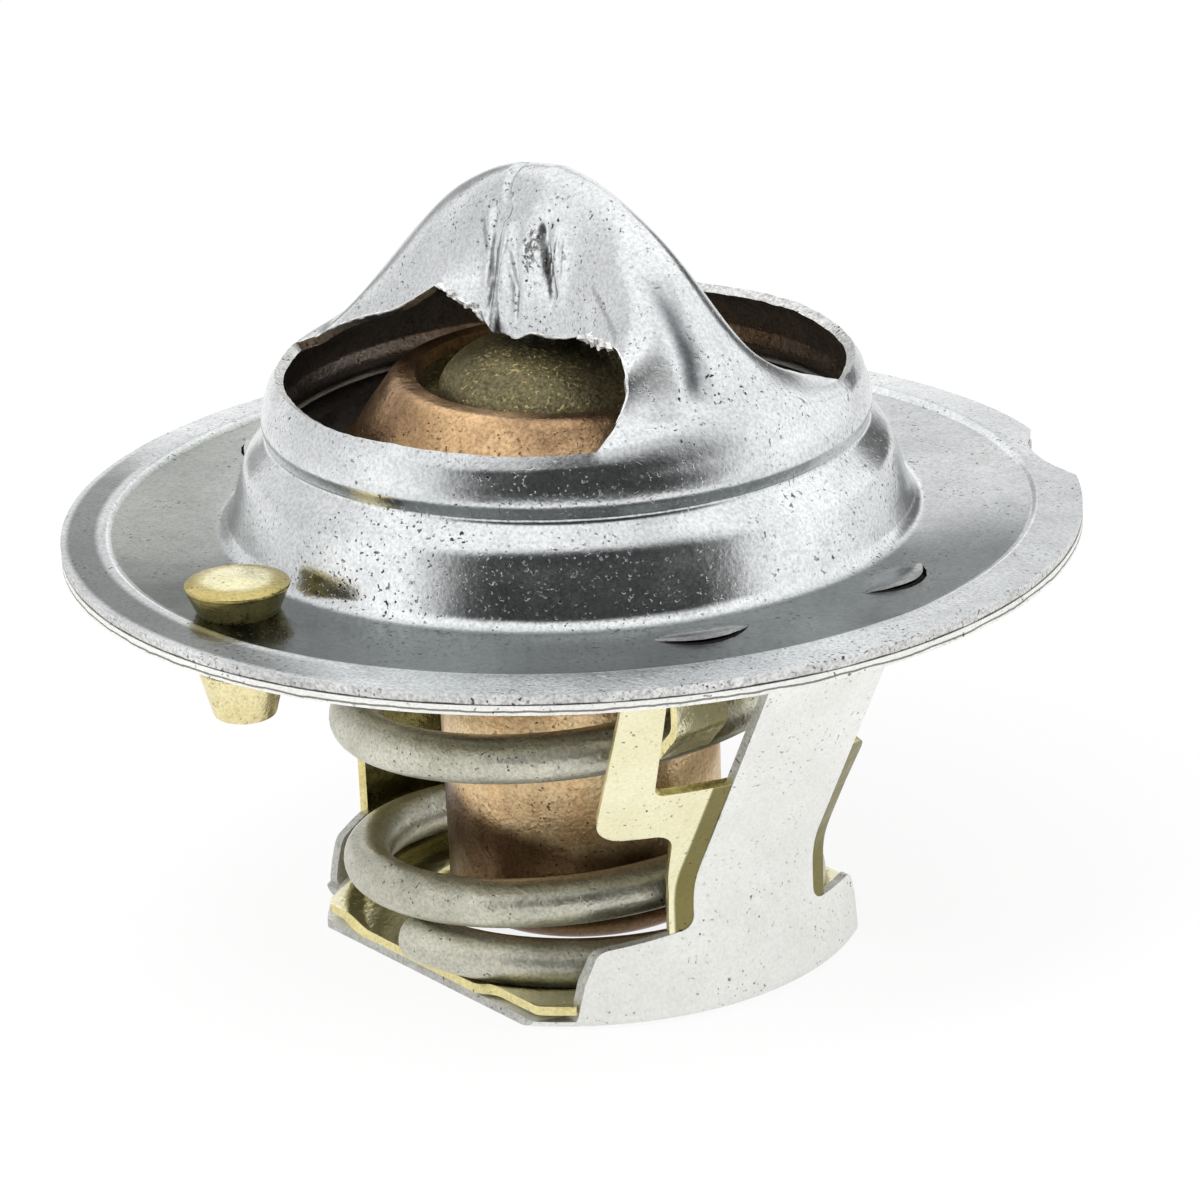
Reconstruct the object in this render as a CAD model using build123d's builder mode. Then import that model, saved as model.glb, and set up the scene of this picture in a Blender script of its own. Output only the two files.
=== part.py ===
from build123d import *
import os
from math import asin, cos, exp, radians, sin, sqrt

# Engine thermostat, poppet type, with a brass latch that holds it open after an overheat.
# Millimetres, +Z up.  The origin is on the valve axis, in the seating face (the underside)
# of the mounting flange.  The bridge strap and the two frame legs lie along the X axis.

# ---------------------------------------------------------------- flange and sheet
flange_radius = 27.0
frame_sheet = 0.5
bridge_sheet = 0.55
rim_band = 2.4              # width of the raised rim of the bridge plate
rim_lift = 0.12             # how far that rim stands off the frame's flange
rim_slope = 0.4
notch_radius = 7.5          # locating notch in the rim of both plates
notch_depth = 1.4
notch_angle = 65.0

# ---------------------------------------------------------------- collar of the bridge
collar_foot_radius = 18.2
shoulder_radius = 17.1
shoulder_height = 3.75      # heights of the collar are above the flange's top face
neck_radius = 15.85         # crease between the two rings of the collar
neck_height = 4.9
neck_bend = 0.4
crown_radius = 16.05
crown_height = 7.6
crown_turn_in = 0.85        # the window's lower edge lies this far inside the crown
crown_roll = 1.2
window_edge_height = 8.4
foot_bend = 0.9

# ---------------------------------------------------------------- bridge strap
foot_half_width = 8.5       # where a foot of the strap runs into the crown
foot_top = 7.75
foot_edge = (sqrt(crown_radius ** 2 - foot_half_width ** 2), foot_half_width, foot_top)
# Lines of the strap from over the piston out to a foot: distance along X, half width across,
# height above the seating face.  One lower edge of each foot is pressed lower than the other.
ridge_line = [
    (0, 0, 19.9),
    (3.2, 0, 19.45),
    (6.2, 0, 18.35),
    (8.8, 0, 16.8),
    (11.4, 0, 14.3),
    (crown_radius - 2.45, 0, 11.4),
    (crown_radius - 0.85, 0, 9.6),
    (crown_radius, 0, foot_top),
]
high_edge = [
    (0, 3.4, 12.6),
    (3.2, 3.5, 12.75),
    (6.4, 4.0, 13.1),
    (9.2, 4.5, 13.4),
    (11.3, 5.1, 13.3),
    (12.3, 5.9, 12.0),
    (foot_edge[0] - 0.7, foot_half_width - 1.4, 10.2),
    foot_edge,
]
low_edge = [
    (0, 3.4, 12.6),
    (3.0, 3.7, 12.9),
    (5.4, 4.2, 12.5),
    (8.2, 4.6, 11.3),
    (10.5, 5.0, 10.4),
    (11.9, 6.0, 9.9),
    (foot_edge[0] - 0.8, foot_half_width - 1.3, 9.4),
    foot_edge,
]
ridge_radius = 2.3
crown_arch = 78.0           # half angle of the round arch over the piston
crown_spread = 3.5          # length over which that arch fades into the ridge
pinch_bulge = 0.35          # the pinched tube that holds the piston's tip
pinch_dent = 0.6
pinch_drop = 1.2
pinch_radius = 2.4
foot_inset = 0.08           # the strap's feet grow out of the middle of the collar wall

# ---------------------------------------------------------------- valve and wax element
valve_radius = 15.9
valve_sheet = 0.7
valve_step = 0.6            # the rim stands this much above the middle of the plate
valve_step_radius = 14.0
valve_step_web = 0.4
seat_clearance = 0.03
cone_base_radius = 12.0
cone_foot = 0.5             # height of the straight foot of the element's cone
cone_rim_radius = 9.1
cone_lip_radius = 7.9
cone_height = 4.5           # above the middle of the valve plate
cone_sheet = 0.7
cone_bend = 0.9
element_radius = 9.2        # flanges of the cup, the boot and the guide, clamped by the cone
cup_radius = 7.6
cup_taper = 0.2             # loss of radius from the top of the cup to its bottom
cup_wall = 0.8
cup_depth = 20.9            # the cup's bottom, below the seating face
cup_corner = 1.3
cup_bend = 0.4
boot_flange = 0.7
boot_radius = 3.2
boot_length = 16.0
boot_tip = 1.2
guide_flange = 1.2
guide_lip_width = 0.5
guide_groove_depth = 1.0
guide_dome_radius = 6.7
guide_dome_height = 3.1
guide_dome_side = 1.1       # the dome's straight side lies this far below the cone's lip
piston_radius = 1.6
piston_tip_radius = 0.4
piston_tip_length = 2.2
slide_clearance = 0.05      # radial running clearance round the piston
piston_seat_gap = 0.2
fit_gap = 0.03              # gap that keeps touching solids apart

# ---------------------------------------------------------------- lower frame
frame_depth = 22.4          # from the seating face down to the frame's underside
frame_wall_radius = 15.1
cone_slope = 0.52           # gain of radius for each mm of height
cone_foot_height = 14.8     # depth at which the wall turns into the cone
frame_hole_radius = 9.0
frame_truncation = 11.4     # half width of the frame's bottom plate
floor_bend = 0.8
frame_bend = 1.3
band_end_slant = 1.0
# Ends of the band: half width of the leg, then the band's reach from the leg's middle, its
# height, and how much higher it is beside the leg.
long_end = (4.2, 9.8, 4.4, 0.8)
right_end = (3.75, 8.7, 4.3, 0)
left_end = (4.2, 8.2, 2.6, 0.6)
short_corner_radius = 14.2  # bottom plate's corners beside the short ends
window_corner = 0.8

# ---------------------------------------------------------------- brass retainer
retainer_sheet = 0.5
nest_gap = 0.05             # between the retainer and the frame round it
seat_rise = 0.5             # raised part of the spring seat
groove_radius = 11.5        # centre of the spring's groove
groove_floor = 0.8          # the groove is flat this far outside its centre
groove_slope = 1.0
seat_hole_radius = 9.3
seat_corner_overhang = 0.2
seat_corner_x = 8.4         # the corners beside the band's short ends are cut off slantwise
seat_corner_y = 6.4
seat_corner_run = 3.0
stem_half_width = 5.3       # on the wing's side of the arm
stem_back_width = 4.6       # on the other side
stem_flare = 0.8            # the stem is this much wider where the wing leaves it
arm_top_depth = 8.1         # the arm's upper edge, below the seating face
wing_depth = 10.8           # the wing's lower edge
wing_reach = 9.75           # the wing's outer corner, from the middle of the arm
wing_corner = 1.4
finger_width = 1.9
finger_flare = 1.75         # how far the finger leans outward at its top
notch_corner = 0.5

# ---------------------------------------------------------------- latch ring
latch_sheet = 0.5
latch_inner_radius = 17.5
latch_ring_width = 1.6
latch_ear_half_width = 11.6
latch_ear_gap = 0.3         # between an ear and the frame's cone round it
hook_centre = 4.85          # distance of a hook's middle from the leg's middle plane
hook_width = 3.3
hook_reach = 16.6           # outer face of a hanging hook, from the valve axis
hook_depth = 6.8
hook_bend_depth = 5.2
hook_turn_in = 1.5
hook_bend = 0.8

# ---------------------------------------------------------------- spring
wire_radius = 1.3
spring_top_radius = 12.95
spring_turns = 4.1
spring_end_turns = 0.68     # flat part of the coil at each end
spring_start_angle = -90.5
points_per_turn = 12

# ---------------------------------------------------------------- jiggle pin
pin_collar_gap = 0.7        # between the pin's head and the foot of the collar
pin_place_angle = -89.5
pin_hole_radius = 2.1
pin_relief_radius = 2.6     # hole for the tail in the frame's flange
pin_head_radius = 2.7
pin_head_height = 1.45      # the head's widest edge, above the flange's top face
pin_head_edge = 0.2
pin_head_crown = 0.15
pin_cone_drop = 0.1         # how far the head's cone reaches into its hole
pin_stem_radius = 1.1
pin_tail_radius = 2.3
pin_tail_end_radius = 1.6
pin_tail_depth = 2.0        # the tail's upper face, below the seating face
pin_tail_length = 2.6
pin_tail_crown = 0.3

# ---------------------------------------------------------------- sizes that follow
plate_top = frame_sheet + bridge_sheet
skew = sqrt(1 + cone_slope ** 2)  # turns a sheet's thickness into a horizontal one on the cone
cone_mouth_radius = frame_wall_radius + cone_slope * cone_foot_height
frame_floor = -frame_depth + frame_sheet
nest_radius = frame_wall_radius - frame_sheet - nest_gap
nest_foot = -cone_foot_height + (skew - 1) * (frame_sheet + nest_gap) / cone_slope
seat_level = frame_floor + seat_rise
seat_slope = (neck_height - shoulder_height) / (shoulder_radius - neck_radius)
seat_height = shoulder_height + seat_slope * (shoulder_radius - valve_radius)
valve_top = plate_top + seat_height - bridge_sheet * sqrt(1 + seat_slope ** 2) - seat_clearance
plate_level = valve_top - valve_step
valve_under = plate_level - valve_sheet
lip_top = plate_level + cone_height
lip_under = lip_top - cone_sheet
boot_level = plate_level + cup_wall
guide_level = boot_level + boot_flange
boot_end = boot_level - boot_length
dome_level = lip_top - guide_dome_side
bore_radius = piston_radius + slide_clearance
pin_place_radius = collar_foot_radius + pin_head_radius + pin_collar_gap
piston_top = ridge_line[0][2] - bridge_sheet - piston_seat_gap
spring_floor = frame_floor + retainer_sheet + wire_radius
spring_ceiling = valve_under - wire_radius

strap_tolerance = 0.01
arch_points = 6
half_stations = (0, 0.05, 0.1, 0.15, 0.21, 0.27, 0.34, 0.42, 0.5, 0.58, 0.66, 0.74, 0.82, 0.88, 0.94, 1)
strap_stations = [-t for t in reversed(half_stations) if t] + list(half_stations)


def polar(radius, angle):
    return (radius * cos(radians(angle)), radius * sin(radians(angle)))


def cone_radius(height, inset):
    """Radius of the frame's cone at a height, moved in square to its surface."""
    return cone_mouth_radius + cone_slope * height - inset * skew


pin_place = polar(pin_place_radius, pin_place_angle)
notch_place = polar(flange_radius - notch_depth + notch_radius, notch_angle)


def along(line, share, column):
    """Smooth value from a table of points at a share (0 at its first row, 1 at its last)."""
    values = [row[column] for row in line]
    last = len(values) - 1
    i = min(int(share * last), last - 1)
    w = share * last - i

    def slope(k):
        if k == 0:
            return 0 if column else values[1] - values[0]
        return (values[min(k + 1, last)] - values[k - 1]) / (1 if k == last else 2)

    start, end = values[i], values[i + 1]
    hump = start * (1 + 2 * w) * (1 - w) ** 2 + end * (3 - 2 * w) * w ** 2
    return hump + slope(i) * w * (1 - w) ** 2 - slope(i + 1) * (1 - w) * w ** 2


def fall(y, half_width, share, place):
    """Share of the way from the ridge down to a lower edge, at y across the strap."""
    peak = sqrt(ridge_radius ** 2 + half_width ** 2) - ridge_radius
    saddle = (sqrt(ridge_radius ** 2 + y ** 2) - ridge_radius) / peak
    wall = (1 - cos(asin(y / crown_radius))) / (1 - cos(asin(half_width / crown_radius)))
    arch = asin(y / half_width * sin(radians(crown_arch)))
    arch = (1 - cos(arch)) / (1 - cos(radians(crown_arch)))
    crown = exp(-((place / crown_spread) ** 2))
    flank = saddle + (wall - saddle) * share ** 4
    return flank + (arch - flank) * crown


def strap_row(station):
    """Points across the strap's outer face; the station is 0 at the piston, 1 at a foot."""
    share = abs(station)
    side = -1 if station < 0 else 1
    ridge_x = along(ridge_line, share, 0)
    ridge_z = along(ridge_line, share, 2)
    swell = exp(-((ridge_x / (0.6 * pinch_radius)) ** 2))
    dent = exp(-(((ridge_x - 1.1 * pinch_radius) / (0.35 * pinch_radius)) ** 2))
    shrink = 1 - foot_inset * share ** 8 / crown_radius
    row = []
    for i in range(-arch_points, arch_points + 1):
        edge = low_edge if i * side > 0 else high_edge
        edge_x = along(edge, share, 0)
        edge_z = along(edge, share, 2) - pinch_drop * swell
        half_width = along(edge, share, 1) + pinch_bulge * swell - pinch_dent * dent
        y = half_width * i / arch_points
        down = fall(abs(y), half_width, share, ridge_x)
        x = side * (ridge_x + (edge_x - ridge_x) * down)
        row.append((x * shrink, y * shrink, ridge_z + (edge_z - ridge_z) * down))
    return row


# ================================================================ bridge flange
# One stamping: flange plate, two-ring collar and the strap that bridges the valve.
# The two windows between the strap and the collar let the coolant through.
with BuildPart() as bridge_flange:
    with BuildSketch(Plane.XZ):
        with BuildLine():
            FilletPolyline(
                (flange_radius, plate_top + rim_lift),
                (flange_radius - rim_band, plate_top + rim_lift),
                (flange_radius - rim_band - rim_slope, plate_top),
                (collar_foot_radius, plate_top),
                (shoulder_radius, plate_top + shoulder_height),
                (neck_radius, plate_top + neck_height),
                (crown_radius, plate_top + crown_height),
                (crown_radius - crown_turn_in, plate_top + window_edge_height),
                radius=[2 * rim_slope, 2 * rim_slope, foot_bend, foot_bend, neck_bend, crown_roll],
            )
            offset(amount=bridge_sheet, side=Side.LEFT)
        make_face()
    revolve(axis=Axis.Z)
    strap_skin = Face.make_surface_from_array_of_points(
        [strap_row(station) for station in strap_stations], tol=strap_tolerance, min_deg=3
    )
    thicken(strap_skin, amount=bridge_sheet, normal_override=(0, 0, -1))
    with BuildSketch(Plane.XY.offset(frame_sheet)):
        with Locations(pin_place):
            Circle(pin_hole_radius)
        with Locations(notch_place):
            Circle(notch_radius)
    extrude(amount=plate_top + rim_lift, mode=Mode.SUBTRACT)
bridge_flange.part.label = "bridge_flange"


# ================================================================ lower frame
# A drawn cup with a flange.  Two windows leave the two legs, the low band round the
# bottom and a bottom plate that is trimmed straight along both windows.
band_ends = [(1, -1, long_end), (1, 1, right_end), (-1, 1, long_end), (-1, -1, left_end)]


def window_outline(leg_side, reach, height, rise):
    """One side of a window, from the leg's middle: across it, and up from the seating face."""
    return [
        (leg_side, -frame_depth + height + rise),
        (leg_side, -window_corner * 0.4),
        (2 * leg_side, -window_corner * 0.4),
        (2 * leg_side + 0.5, 0),
        (2 * flange_radius, 0),
        (2 * flange_radius, frame_floor),
        (reach, frame_floor),
        (reach - band_end_slant * 0.4, -frame_depth + height * 0.6),
        (reach - band_end_slant, -frame_depth + height),
    ]


def short_corners():
    """Waste outside the bottom plate's two corners beside the short band ends."""
    centre = (flange_radius, flange_radius + right_end[1])
    with Locations(centre, (-centre[0], -centre[1])):
        Rectangle(2 * flange_radius, 2 * flange_radius)
    Circle(short_corner_radius, mode=Mode.SUBTRACT)


with BuildPart() as lower_frame:
    with BuildSketch(Plane.XZ):
        with BuildLine():
            FilletPolyline(
                (frame_hole_radius, -frame_depth),
                (frame_wall_radius, -frame_depth),
                (frame_wall_radius, -cone_foot_height),
                (cone_mouth_radius, 0),
                (flange_radius, 0),
                radius=[floor_bend, 4 * frame_bend, frame_bend],
            )
            offset(amount=frame_sheet, side=Side.LEFT)
        make_face()
    revolve(axis=Axis.Z)
    for leg, side, band_end in band_ends:
        with BuildSketch(Plane.YZ):
            with BuildLine():
                Polyline([(side * y, z) for y, z in window_outline(*band_end)], close=True)
            make_face()
            corners = vertices().filter_by(lambda v: abs(v.X) < flange_radius)
            corners = [v for v in corners if v.Y < -frame_depth / 2 or abs(v.X) < 1.01 * band_end[0]]
            corners = [v for v in corners if v.Y > frame_floor + 0.1]
            fillet(corners, radius=window_corner)
        extrude(amount=leg * 2 * flange_radius, mode=Mode.SUBTRACT)
    with BuildSketch(Plane.XY.offset(-frame_depth)):
        short_corners()
    extrude(amount=frame_sheet, mode=Mode.SUBTRACT)
    for side in (-1, 1):
        with BuildSketch(Plane.XY.offset(-frame_depth)):
            with Locations((0, side * (frame_truncation + flange_radius))):
                Rectangle(2 * flange_radius, 2 * flange_radius)
        extrude(amount=frame_sheet, mode=Mode.SUBTRACT)
    with BuildSketch(Plane.XY):
        with Locations(notch_place):
            Circle(notch_radius)
        with Locations(pin_place):
            Circle(pin_relief_radius)
    extrude(amount=frame_sheet, mode=Mode.SUBTRACT)
lower_frame.part.label = "lower_frame"


# ================================================================ brass retainer
# A second drawn cup nested in the frame.  It is the spring's seat, with a round groove for
# the lowest coil, and it has two arms.  Each arm is a stem with a wing and an upright finger.
arm_outline = [
    (-stem_half_width, -frame_depth),
    (-stem_half_width, -1.4 * wing_depth),
    (-stem_half_width - stem_flare, -wing_depth),
    (-wing_reach, -wing_depth),
    (-wing_reach - finger_flare, -fit_gap),
    (-wing_reach - finger_flare + finger_width, -fit_gap),
    (-wing_reach + finger_width, -arm_top_depth),
    (stem_back_width + stem_flare / 2, -arm_top_depth),
    (stem_back_width, -wing_depth),
    (stem_back_width, -frame_depth),
]
with BuildPart() as retainer_outline:
    with BuildSketch(Plane.XY.offset(frame_floor)):
        Rectangle(2 * flange_radius, 2 * frame_truncation)
    extrude(amount=seat_rise + retainer_sheet)
    for side in (-1, 1):
        with BuildSketch(Plane.YZ):
            with BuildLine():
                Polyline([(side * y, z) for y, z in arm_outline], close=True)
            make_face()
            fillet(vertices().filter_by(lambda v: abs(abs(v.X) - wing_reach) < 0.01), wing_corner)
            inner_corner = wing_reach - finger_width
            fillet(vertices().filter_by(lambda v: abs(abs(v.X) - inner_corner) < 0.01), notch_corner)
        extrude(amount=side * flange_radius)
with BuildPart() as retainer:
    with BuildSketch(Plane.XZ):
        with BuildLine():
            FilletPolyline(
                (seat_hole_radius, frame_floor),
                (groove_radius + groove_floor, frame_floor),
                (groove_radius + groove_floor + groove_slope, seat_level),
                (nest_radius, seat_level),
                (nest_radius, nest_foot),
                (cone_radius(-fit_gap, frame_sheet + nest_gap), -fit_gap),
                radius=[1.5 * retainer_sheet, retainer_sheet, 1.5 * retainer_sheet, 4 * frame_bend],
            )
            offset(amount=retainer_sheet, side=Side.LEFT)
        make_face()
    revolve(axis=Axis.Z)
    add(retainer_outline.part, mode=Mode.INTERSECT)
    with BuildSketch(Plane.XY.offset(seat_level)):
        Circle(frame_wall_radius + seat_corner_overhang)
        Rectangle(2 * flange_radius, 2 * frame_truncation, mode=Mode.INTERSECT)
        Rectangle(2 * flange_radius, 2 * long_end[1] + 2 * nest_gap, mode=Mode.SUBTRACT)
        Circle(nest_radius - 2 * retainer_sheet, mode=Mode.SUBTRACT)
    extrude(amount=retainer_sheet)
    with BuildSketch(Plane.XY.offset(frame_floor)):
        with PolarLocations(0, 2):
            with BuildLine():
                Polyline(
                    (seat_corner_x, frame_truncation),
                    (seat_corner_x + seat_corner_run, seat_corner_y),
                    (flange_radius, seat_corner_y),
                    (flange_radius, frame_truncation),
                    close=True,
                )
            make_face()
    extrude(amount=seat_rise + retainer_sheet, mode=Mode.SUBTRACT)
retainer.part.label = "retainer"


# ================================================================ latch ring
# A flat brass ring under the bridge plate.  Its two ears lie on the retainer's fingers, and
# a hook hangs beside each leg, turned in at its lower end to catch the valve plate.
with BuildPart() as latch_hook:
    with BuildSketch(Plane.XZ.offset(hook_centre)):
        with BuildLine():
            FilletPolyline(
                (latch_inner_radius + latch_ring_width / 2, frame_sheet),
                (hook_reach - latch_sheet, frame_sheet),
                (hook_reach - latch_sheet, -hook_bend_depth),
                (hook_reach - latch_sheet - hook_turn_in, -hook_depth),
                radius=[hook_bend / 4, hook_bend],
            )
            offset(amount=latch_sheet, side=Side.LEFT)
        make_face()
    extrude(amount=hook_width / 2, both=True)
with BuildPart() as latch_ring:
    with BuildSketch(Plane.XY.offset(frame_sheet - latch_sheet)):
        Circle(cone_radius(frame_sheet - latch_sheet, frame_sheet) - latch_ear_gap)
        Rectangle(2 * flange_radius, 2 * latch_ear_half_width, mode=Mode.INTERSECT)
        Circle(latch_inner_radius + latch_ring_width)
        Circle(latch_inner_radius, mode=Mode.SUBTRACT)
    extrude(amount=latch_sheet)
    with PolarLocations(0, 2):
        add(latch_hook.part)
latch_ring.part.label = "latch_ring"


# ================================================================ valve plate
with BuildPart() as valve_plate:
    with BuildSketch(Plane.XZ):
        with BuildLine():
            Polyline(
                (cup_radius + cup_bend + fit_gap, valve_under),
                (valve_step_radius + valve_step_web, valve_under),
                (valve_step_radius + valve_step_web, valve_top - valve_sheet),
                (valve_radius, valve_top - valve_sheet),
                (valve_radius, valve_top),
                (valve_step_radius, valve_top),
                (valve_step_radius, plate_level),
                (cup_radius + cup_bend + fit_gap, plate_level),
                close=True,
            )
        make_face()
    revolve(axis=Axis.Z)
    rim_edge = valve_plate.edges().filter_by(GeomType.CIRCLE).group_by(Axis.Z)[-1].sort_by(SortBy.LENGTH)[-1]
    chamfer(rim_edge, length=valve_sheet / 3)
valve_plate.part.label = "valve_plate"


# ================================================================ wax element
# Copper cone pressed over the flanges of the cup, the rubber boot and the guide.
with BuildPart() as element_collar:
    with BuildSketch(Plane.XZ):
        with BuildLine():
            FilletPolyline(
                (cone_base_radius, plate_level),
                (cone_base_radius, plate_level + cone_foot),
                (cone_rim_radius, lip_top),
                (cone_lip_radius, lip_top),
                radius=[cone_bend, cone_bend],
            )
            offset(amount=cone_sheet, side=Side.LEFT)
        make_face()
    revolve(axis=Axis.Z)
element_collar.part.label = "element_collar"

with BuildPart() as wax_cup:
    with BuildSketch(Plane.XZ):
        with BuildLine():
            FilletPolyline(
                (0, -cup_depth),
                (cup_radius - cup_taper, -cup_depth),
                (cup_radius, plate_level),
                (element_radius, plate_level),
                radius=[cup_corner, cup_bend],
            )
            offset(amount=cup_wall, side=Side.LEFT)
        make_face()
    revolve(axis=Axis.Z)
wax_cup.part.label = "wax_cup"

wax_bottom = -cup_depth + cup_wall + fit_gap
wax_radius = cup_radius - cup_wall - cup_bend
with BuildPart() as wax_charge:
    with BuildSketch(Plane.XZ):
        with BuildLine():
            Polyline(
                (0, wax_bottom),
                (wax_radius - cup_taper, wax_bottom),
                (wax_radius, boot_level - fit_gap),
                (boot_radius + fit_gap, boot_level - fit_gap),
                (boot_radius + fit_gap, boot_end - fit_gap),
                (0, boot_end - fit_gap),
                close=True,
            )
        make_face()
        fillet(vertices().sort_by(Axis.Z)[:2].sort_by(Axis.X)[-1], radius=cup_corner - cup_wall)
    revolve(axis=Axis.Z)
wax_charge.part.label = "wax_charge"

with BuildPart() as rubber_boot:
    with BuildSketch(Plane.XY.offset(boot_level)):
        Circle(element_radius)
    extrude(amount=boot_flange)
    with BuildSketch(Plane.XY.offset(boot_level)):
        Circle(boot_radius)
    extrude(amount=-boot_length)
    fillet(rubber_boot.edges().filter_by(GeomType.CIRCLE).sort_by(Axis.Z)[0], radius=boot_tip)
    with BuildSketch(Plane.XY.offset(guide_level)):
        Circle(bore_radius)
    extrude(amount=-(boot_flange + boot_length - boot_tip), mode=Mode.SUBTRACT)
rubber_boot.part.label = "rubber_boot"

groove_level = lip_under - guide_groove_depth
guide_lip_radius = cone_lip_radius + guide_lip_width
with BuildPart() as guide_dome:
    with BuildSketch(Plane.XZ):
        with BuildLine():
            Polyline(
                (0, dome_level + guide_dome_height),
                (0, guide_level),
                (element_radius, guide_level),
                (element_radius, guide_level + guide_flange),
                (guide_lip_radius, lip_under - guide_lip_width),
                (guide_lip_radius, lip_under),
                (cone_lip_radius, lip_under),
                (cone_lip_radius, groove_level),
                (guide_dome_radius, groove_level),
                (guide_dome_radius, dome_level),
            )
            EllipticalCenterArc((0, dome_level), guide_dome_radius, guide_dome_height, arc_size=90)
        make_face()
    revolve(axis=Axis.Z)
    Hole(radius=bore_radius)
guide_dome.part.label = "guide_dome"

with BuildPart() as piston:
    with BuildSketch(Plane.XY.offset(boot_end + boot_tip + fit_gap)):
        Circle(piston_radius)
    extrude(amount=piston_top - boot_end - boot_tip - fit_gap)
    chamfer(
        piston.edges().filter_by(GeomType.CIRCLE).sort_by(Axis.Z)[-1],
        length=piston_tip_length,
        length2=piston_radius - piston_tip_radius,
    )
piston.part.label = "piston"


# ================================================================ main spring
# A right-handed coil with closed ends.  It is a little wider at the valve than at its seat.
def ramp(turns):
    """Share of the coil's rise that is done after this many turns."""
    share = (turns - spring_end_turns) / (spring_turns - 2 * spring_end_turns)
    return min(max(share, 0), 1)


spring_points = []
for step in range(int(points_per_turn * spring_turns) + 1):
    turns = step / points_per_turn
    eased = sum(ramp(turns + k / points_per_turn) for k in (-1, 0, 1)) / 3
    share = turns / spring_turns
    coil_radius = groove_radius + (spring_top_radius - groove_radius) * share
    x, y = polar(coil_radius, spring_start_angle + 360 * turns)
    spring_points.append((x, y, spring_floor + (spring_ceiling - spring_floor) * eased))
with BuildPart() as main_spring:
    with BuildLine() as wire:
        Spline(spring_points)
    with BuildSketch(wire.line ^ 0):
        Circle(wire_radius)
    sweep()
main_spring.part.label = "main_spring"


# ================================================================ jiggle pin
# A loose brass pin in the flange: air leaves past it, and the rising coolant shuts it.
pin_plane = Plane(origin=(*pin_place, 0), x_dir=(1, 0, 0), z_dir=(0, -1, 0))
pin_edge_height = plate_top + pin_head_height + fit_gap
cone_share = pin_cone_drop / pin_head_height
cone_end_radius = pin_hole_radius - (pin_head_radius - pin_hole_radius) * cone_share
with BuildPart() as jiggle_pin:
    with BuildSketch(pin_plane):
        with BuildLine():
            Polyline(
                (0, pin_edge_height + pin_head_edge + pin_head_crown),
                (pin_head_radius * 0.8, pin_edge_height + pin_head_edge),
                (pin_head_radius, pin_edge_height + pin_head_edge / 2),
                (pin_head_radius, pin_edge_height),
                (cone_end_radius, plate_top + fit_gap - pin_cone_drop),
                (pin_stem_radius, plate_top + fit_gap - pin_cone_drop),
                (pin_stem_radius, -pin_tail_depth),
                (pin_tail_radius, -pin_tail_depth),
                (pin_tail_end_radius, -pin_tail_depth - pin_tail_length),
                (0, -pin_tail_depth - pin_tail_length - pin_tail_crown),
                close=True,
            )
        make_face()
    revolve(axis=Axis((*pin_place, 0), (0, 0, 1)))
jiggle_pin.part.label = "jiggle_pin"


# ================================================================ export
os.makedirs("parts", exist_ok=True)
export_step(bridge_flange.part, "parts/bridge_flange.step")
export_step(lower_frame.part, "parts/lower_frame.step")
export_step(retainer.part, "parts/retainer.step")
export_step(latch_ring.part, "parts/latch_ring.step")
export_step(valve_plate.part, "parts/valve_plate.step")
export_step(element_collar.part, "parts/element_collar.step")
export_step(wax_cup.part, "parts/wax_cup.step")
export_step(wax_charge.part, "parts/wax_charge.step")
export_step(rubber_boot.part, "parts/rubber_boot.step")
export_step(guide_dome.part, "parts/guide_dome.step")
export_step(piston.part, "parts/piston.step")
export_step(main_spring.part, "parts/main_spring.step")
export_step(jiggle_pin.part, "parts/jiggle_pin.step")
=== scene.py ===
from contextlib import contextmanager
from math import asin, ceil, cos, degrees, dist, exp, hypot, log, pi, radians, sin, sqrt, tan
import bmesh
import bpy
from mathutils import Matrix, Vector
from mathutils import noise as noise_field


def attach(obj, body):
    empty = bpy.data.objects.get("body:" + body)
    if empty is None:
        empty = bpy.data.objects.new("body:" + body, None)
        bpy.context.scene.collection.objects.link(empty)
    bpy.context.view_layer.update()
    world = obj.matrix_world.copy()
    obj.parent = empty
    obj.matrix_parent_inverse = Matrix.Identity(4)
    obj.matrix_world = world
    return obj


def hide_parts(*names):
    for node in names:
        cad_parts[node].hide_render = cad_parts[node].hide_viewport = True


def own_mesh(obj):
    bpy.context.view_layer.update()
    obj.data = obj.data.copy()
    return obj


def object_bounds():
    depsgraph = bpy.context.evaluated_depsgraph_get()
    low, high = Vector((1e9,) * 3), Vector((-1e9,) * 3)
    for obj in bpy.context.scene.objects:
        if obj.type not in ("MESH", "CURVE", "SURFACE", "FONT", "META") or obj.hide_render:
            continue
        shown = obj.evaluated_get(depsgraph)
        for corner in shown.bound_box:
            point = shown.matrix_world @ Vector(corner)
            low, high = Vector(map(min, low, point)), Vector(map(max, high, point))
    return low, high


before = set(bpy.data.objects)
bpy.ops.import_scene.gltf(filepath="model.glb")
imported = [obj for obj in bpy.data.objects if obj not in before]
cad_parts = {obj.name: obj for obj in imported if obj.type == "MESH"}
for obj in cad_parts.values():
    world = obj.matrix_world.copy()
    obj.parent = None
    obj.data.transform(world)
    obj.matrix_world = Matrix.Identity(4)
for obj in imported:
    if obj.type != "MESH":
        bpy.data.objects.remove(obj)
cad_low, cad_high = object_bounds()
scene = bpy.context.scene
MM = 0.001
noise_value = noise_field.noise  # smooth, between about -1 and 1, the same in each run

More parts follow.
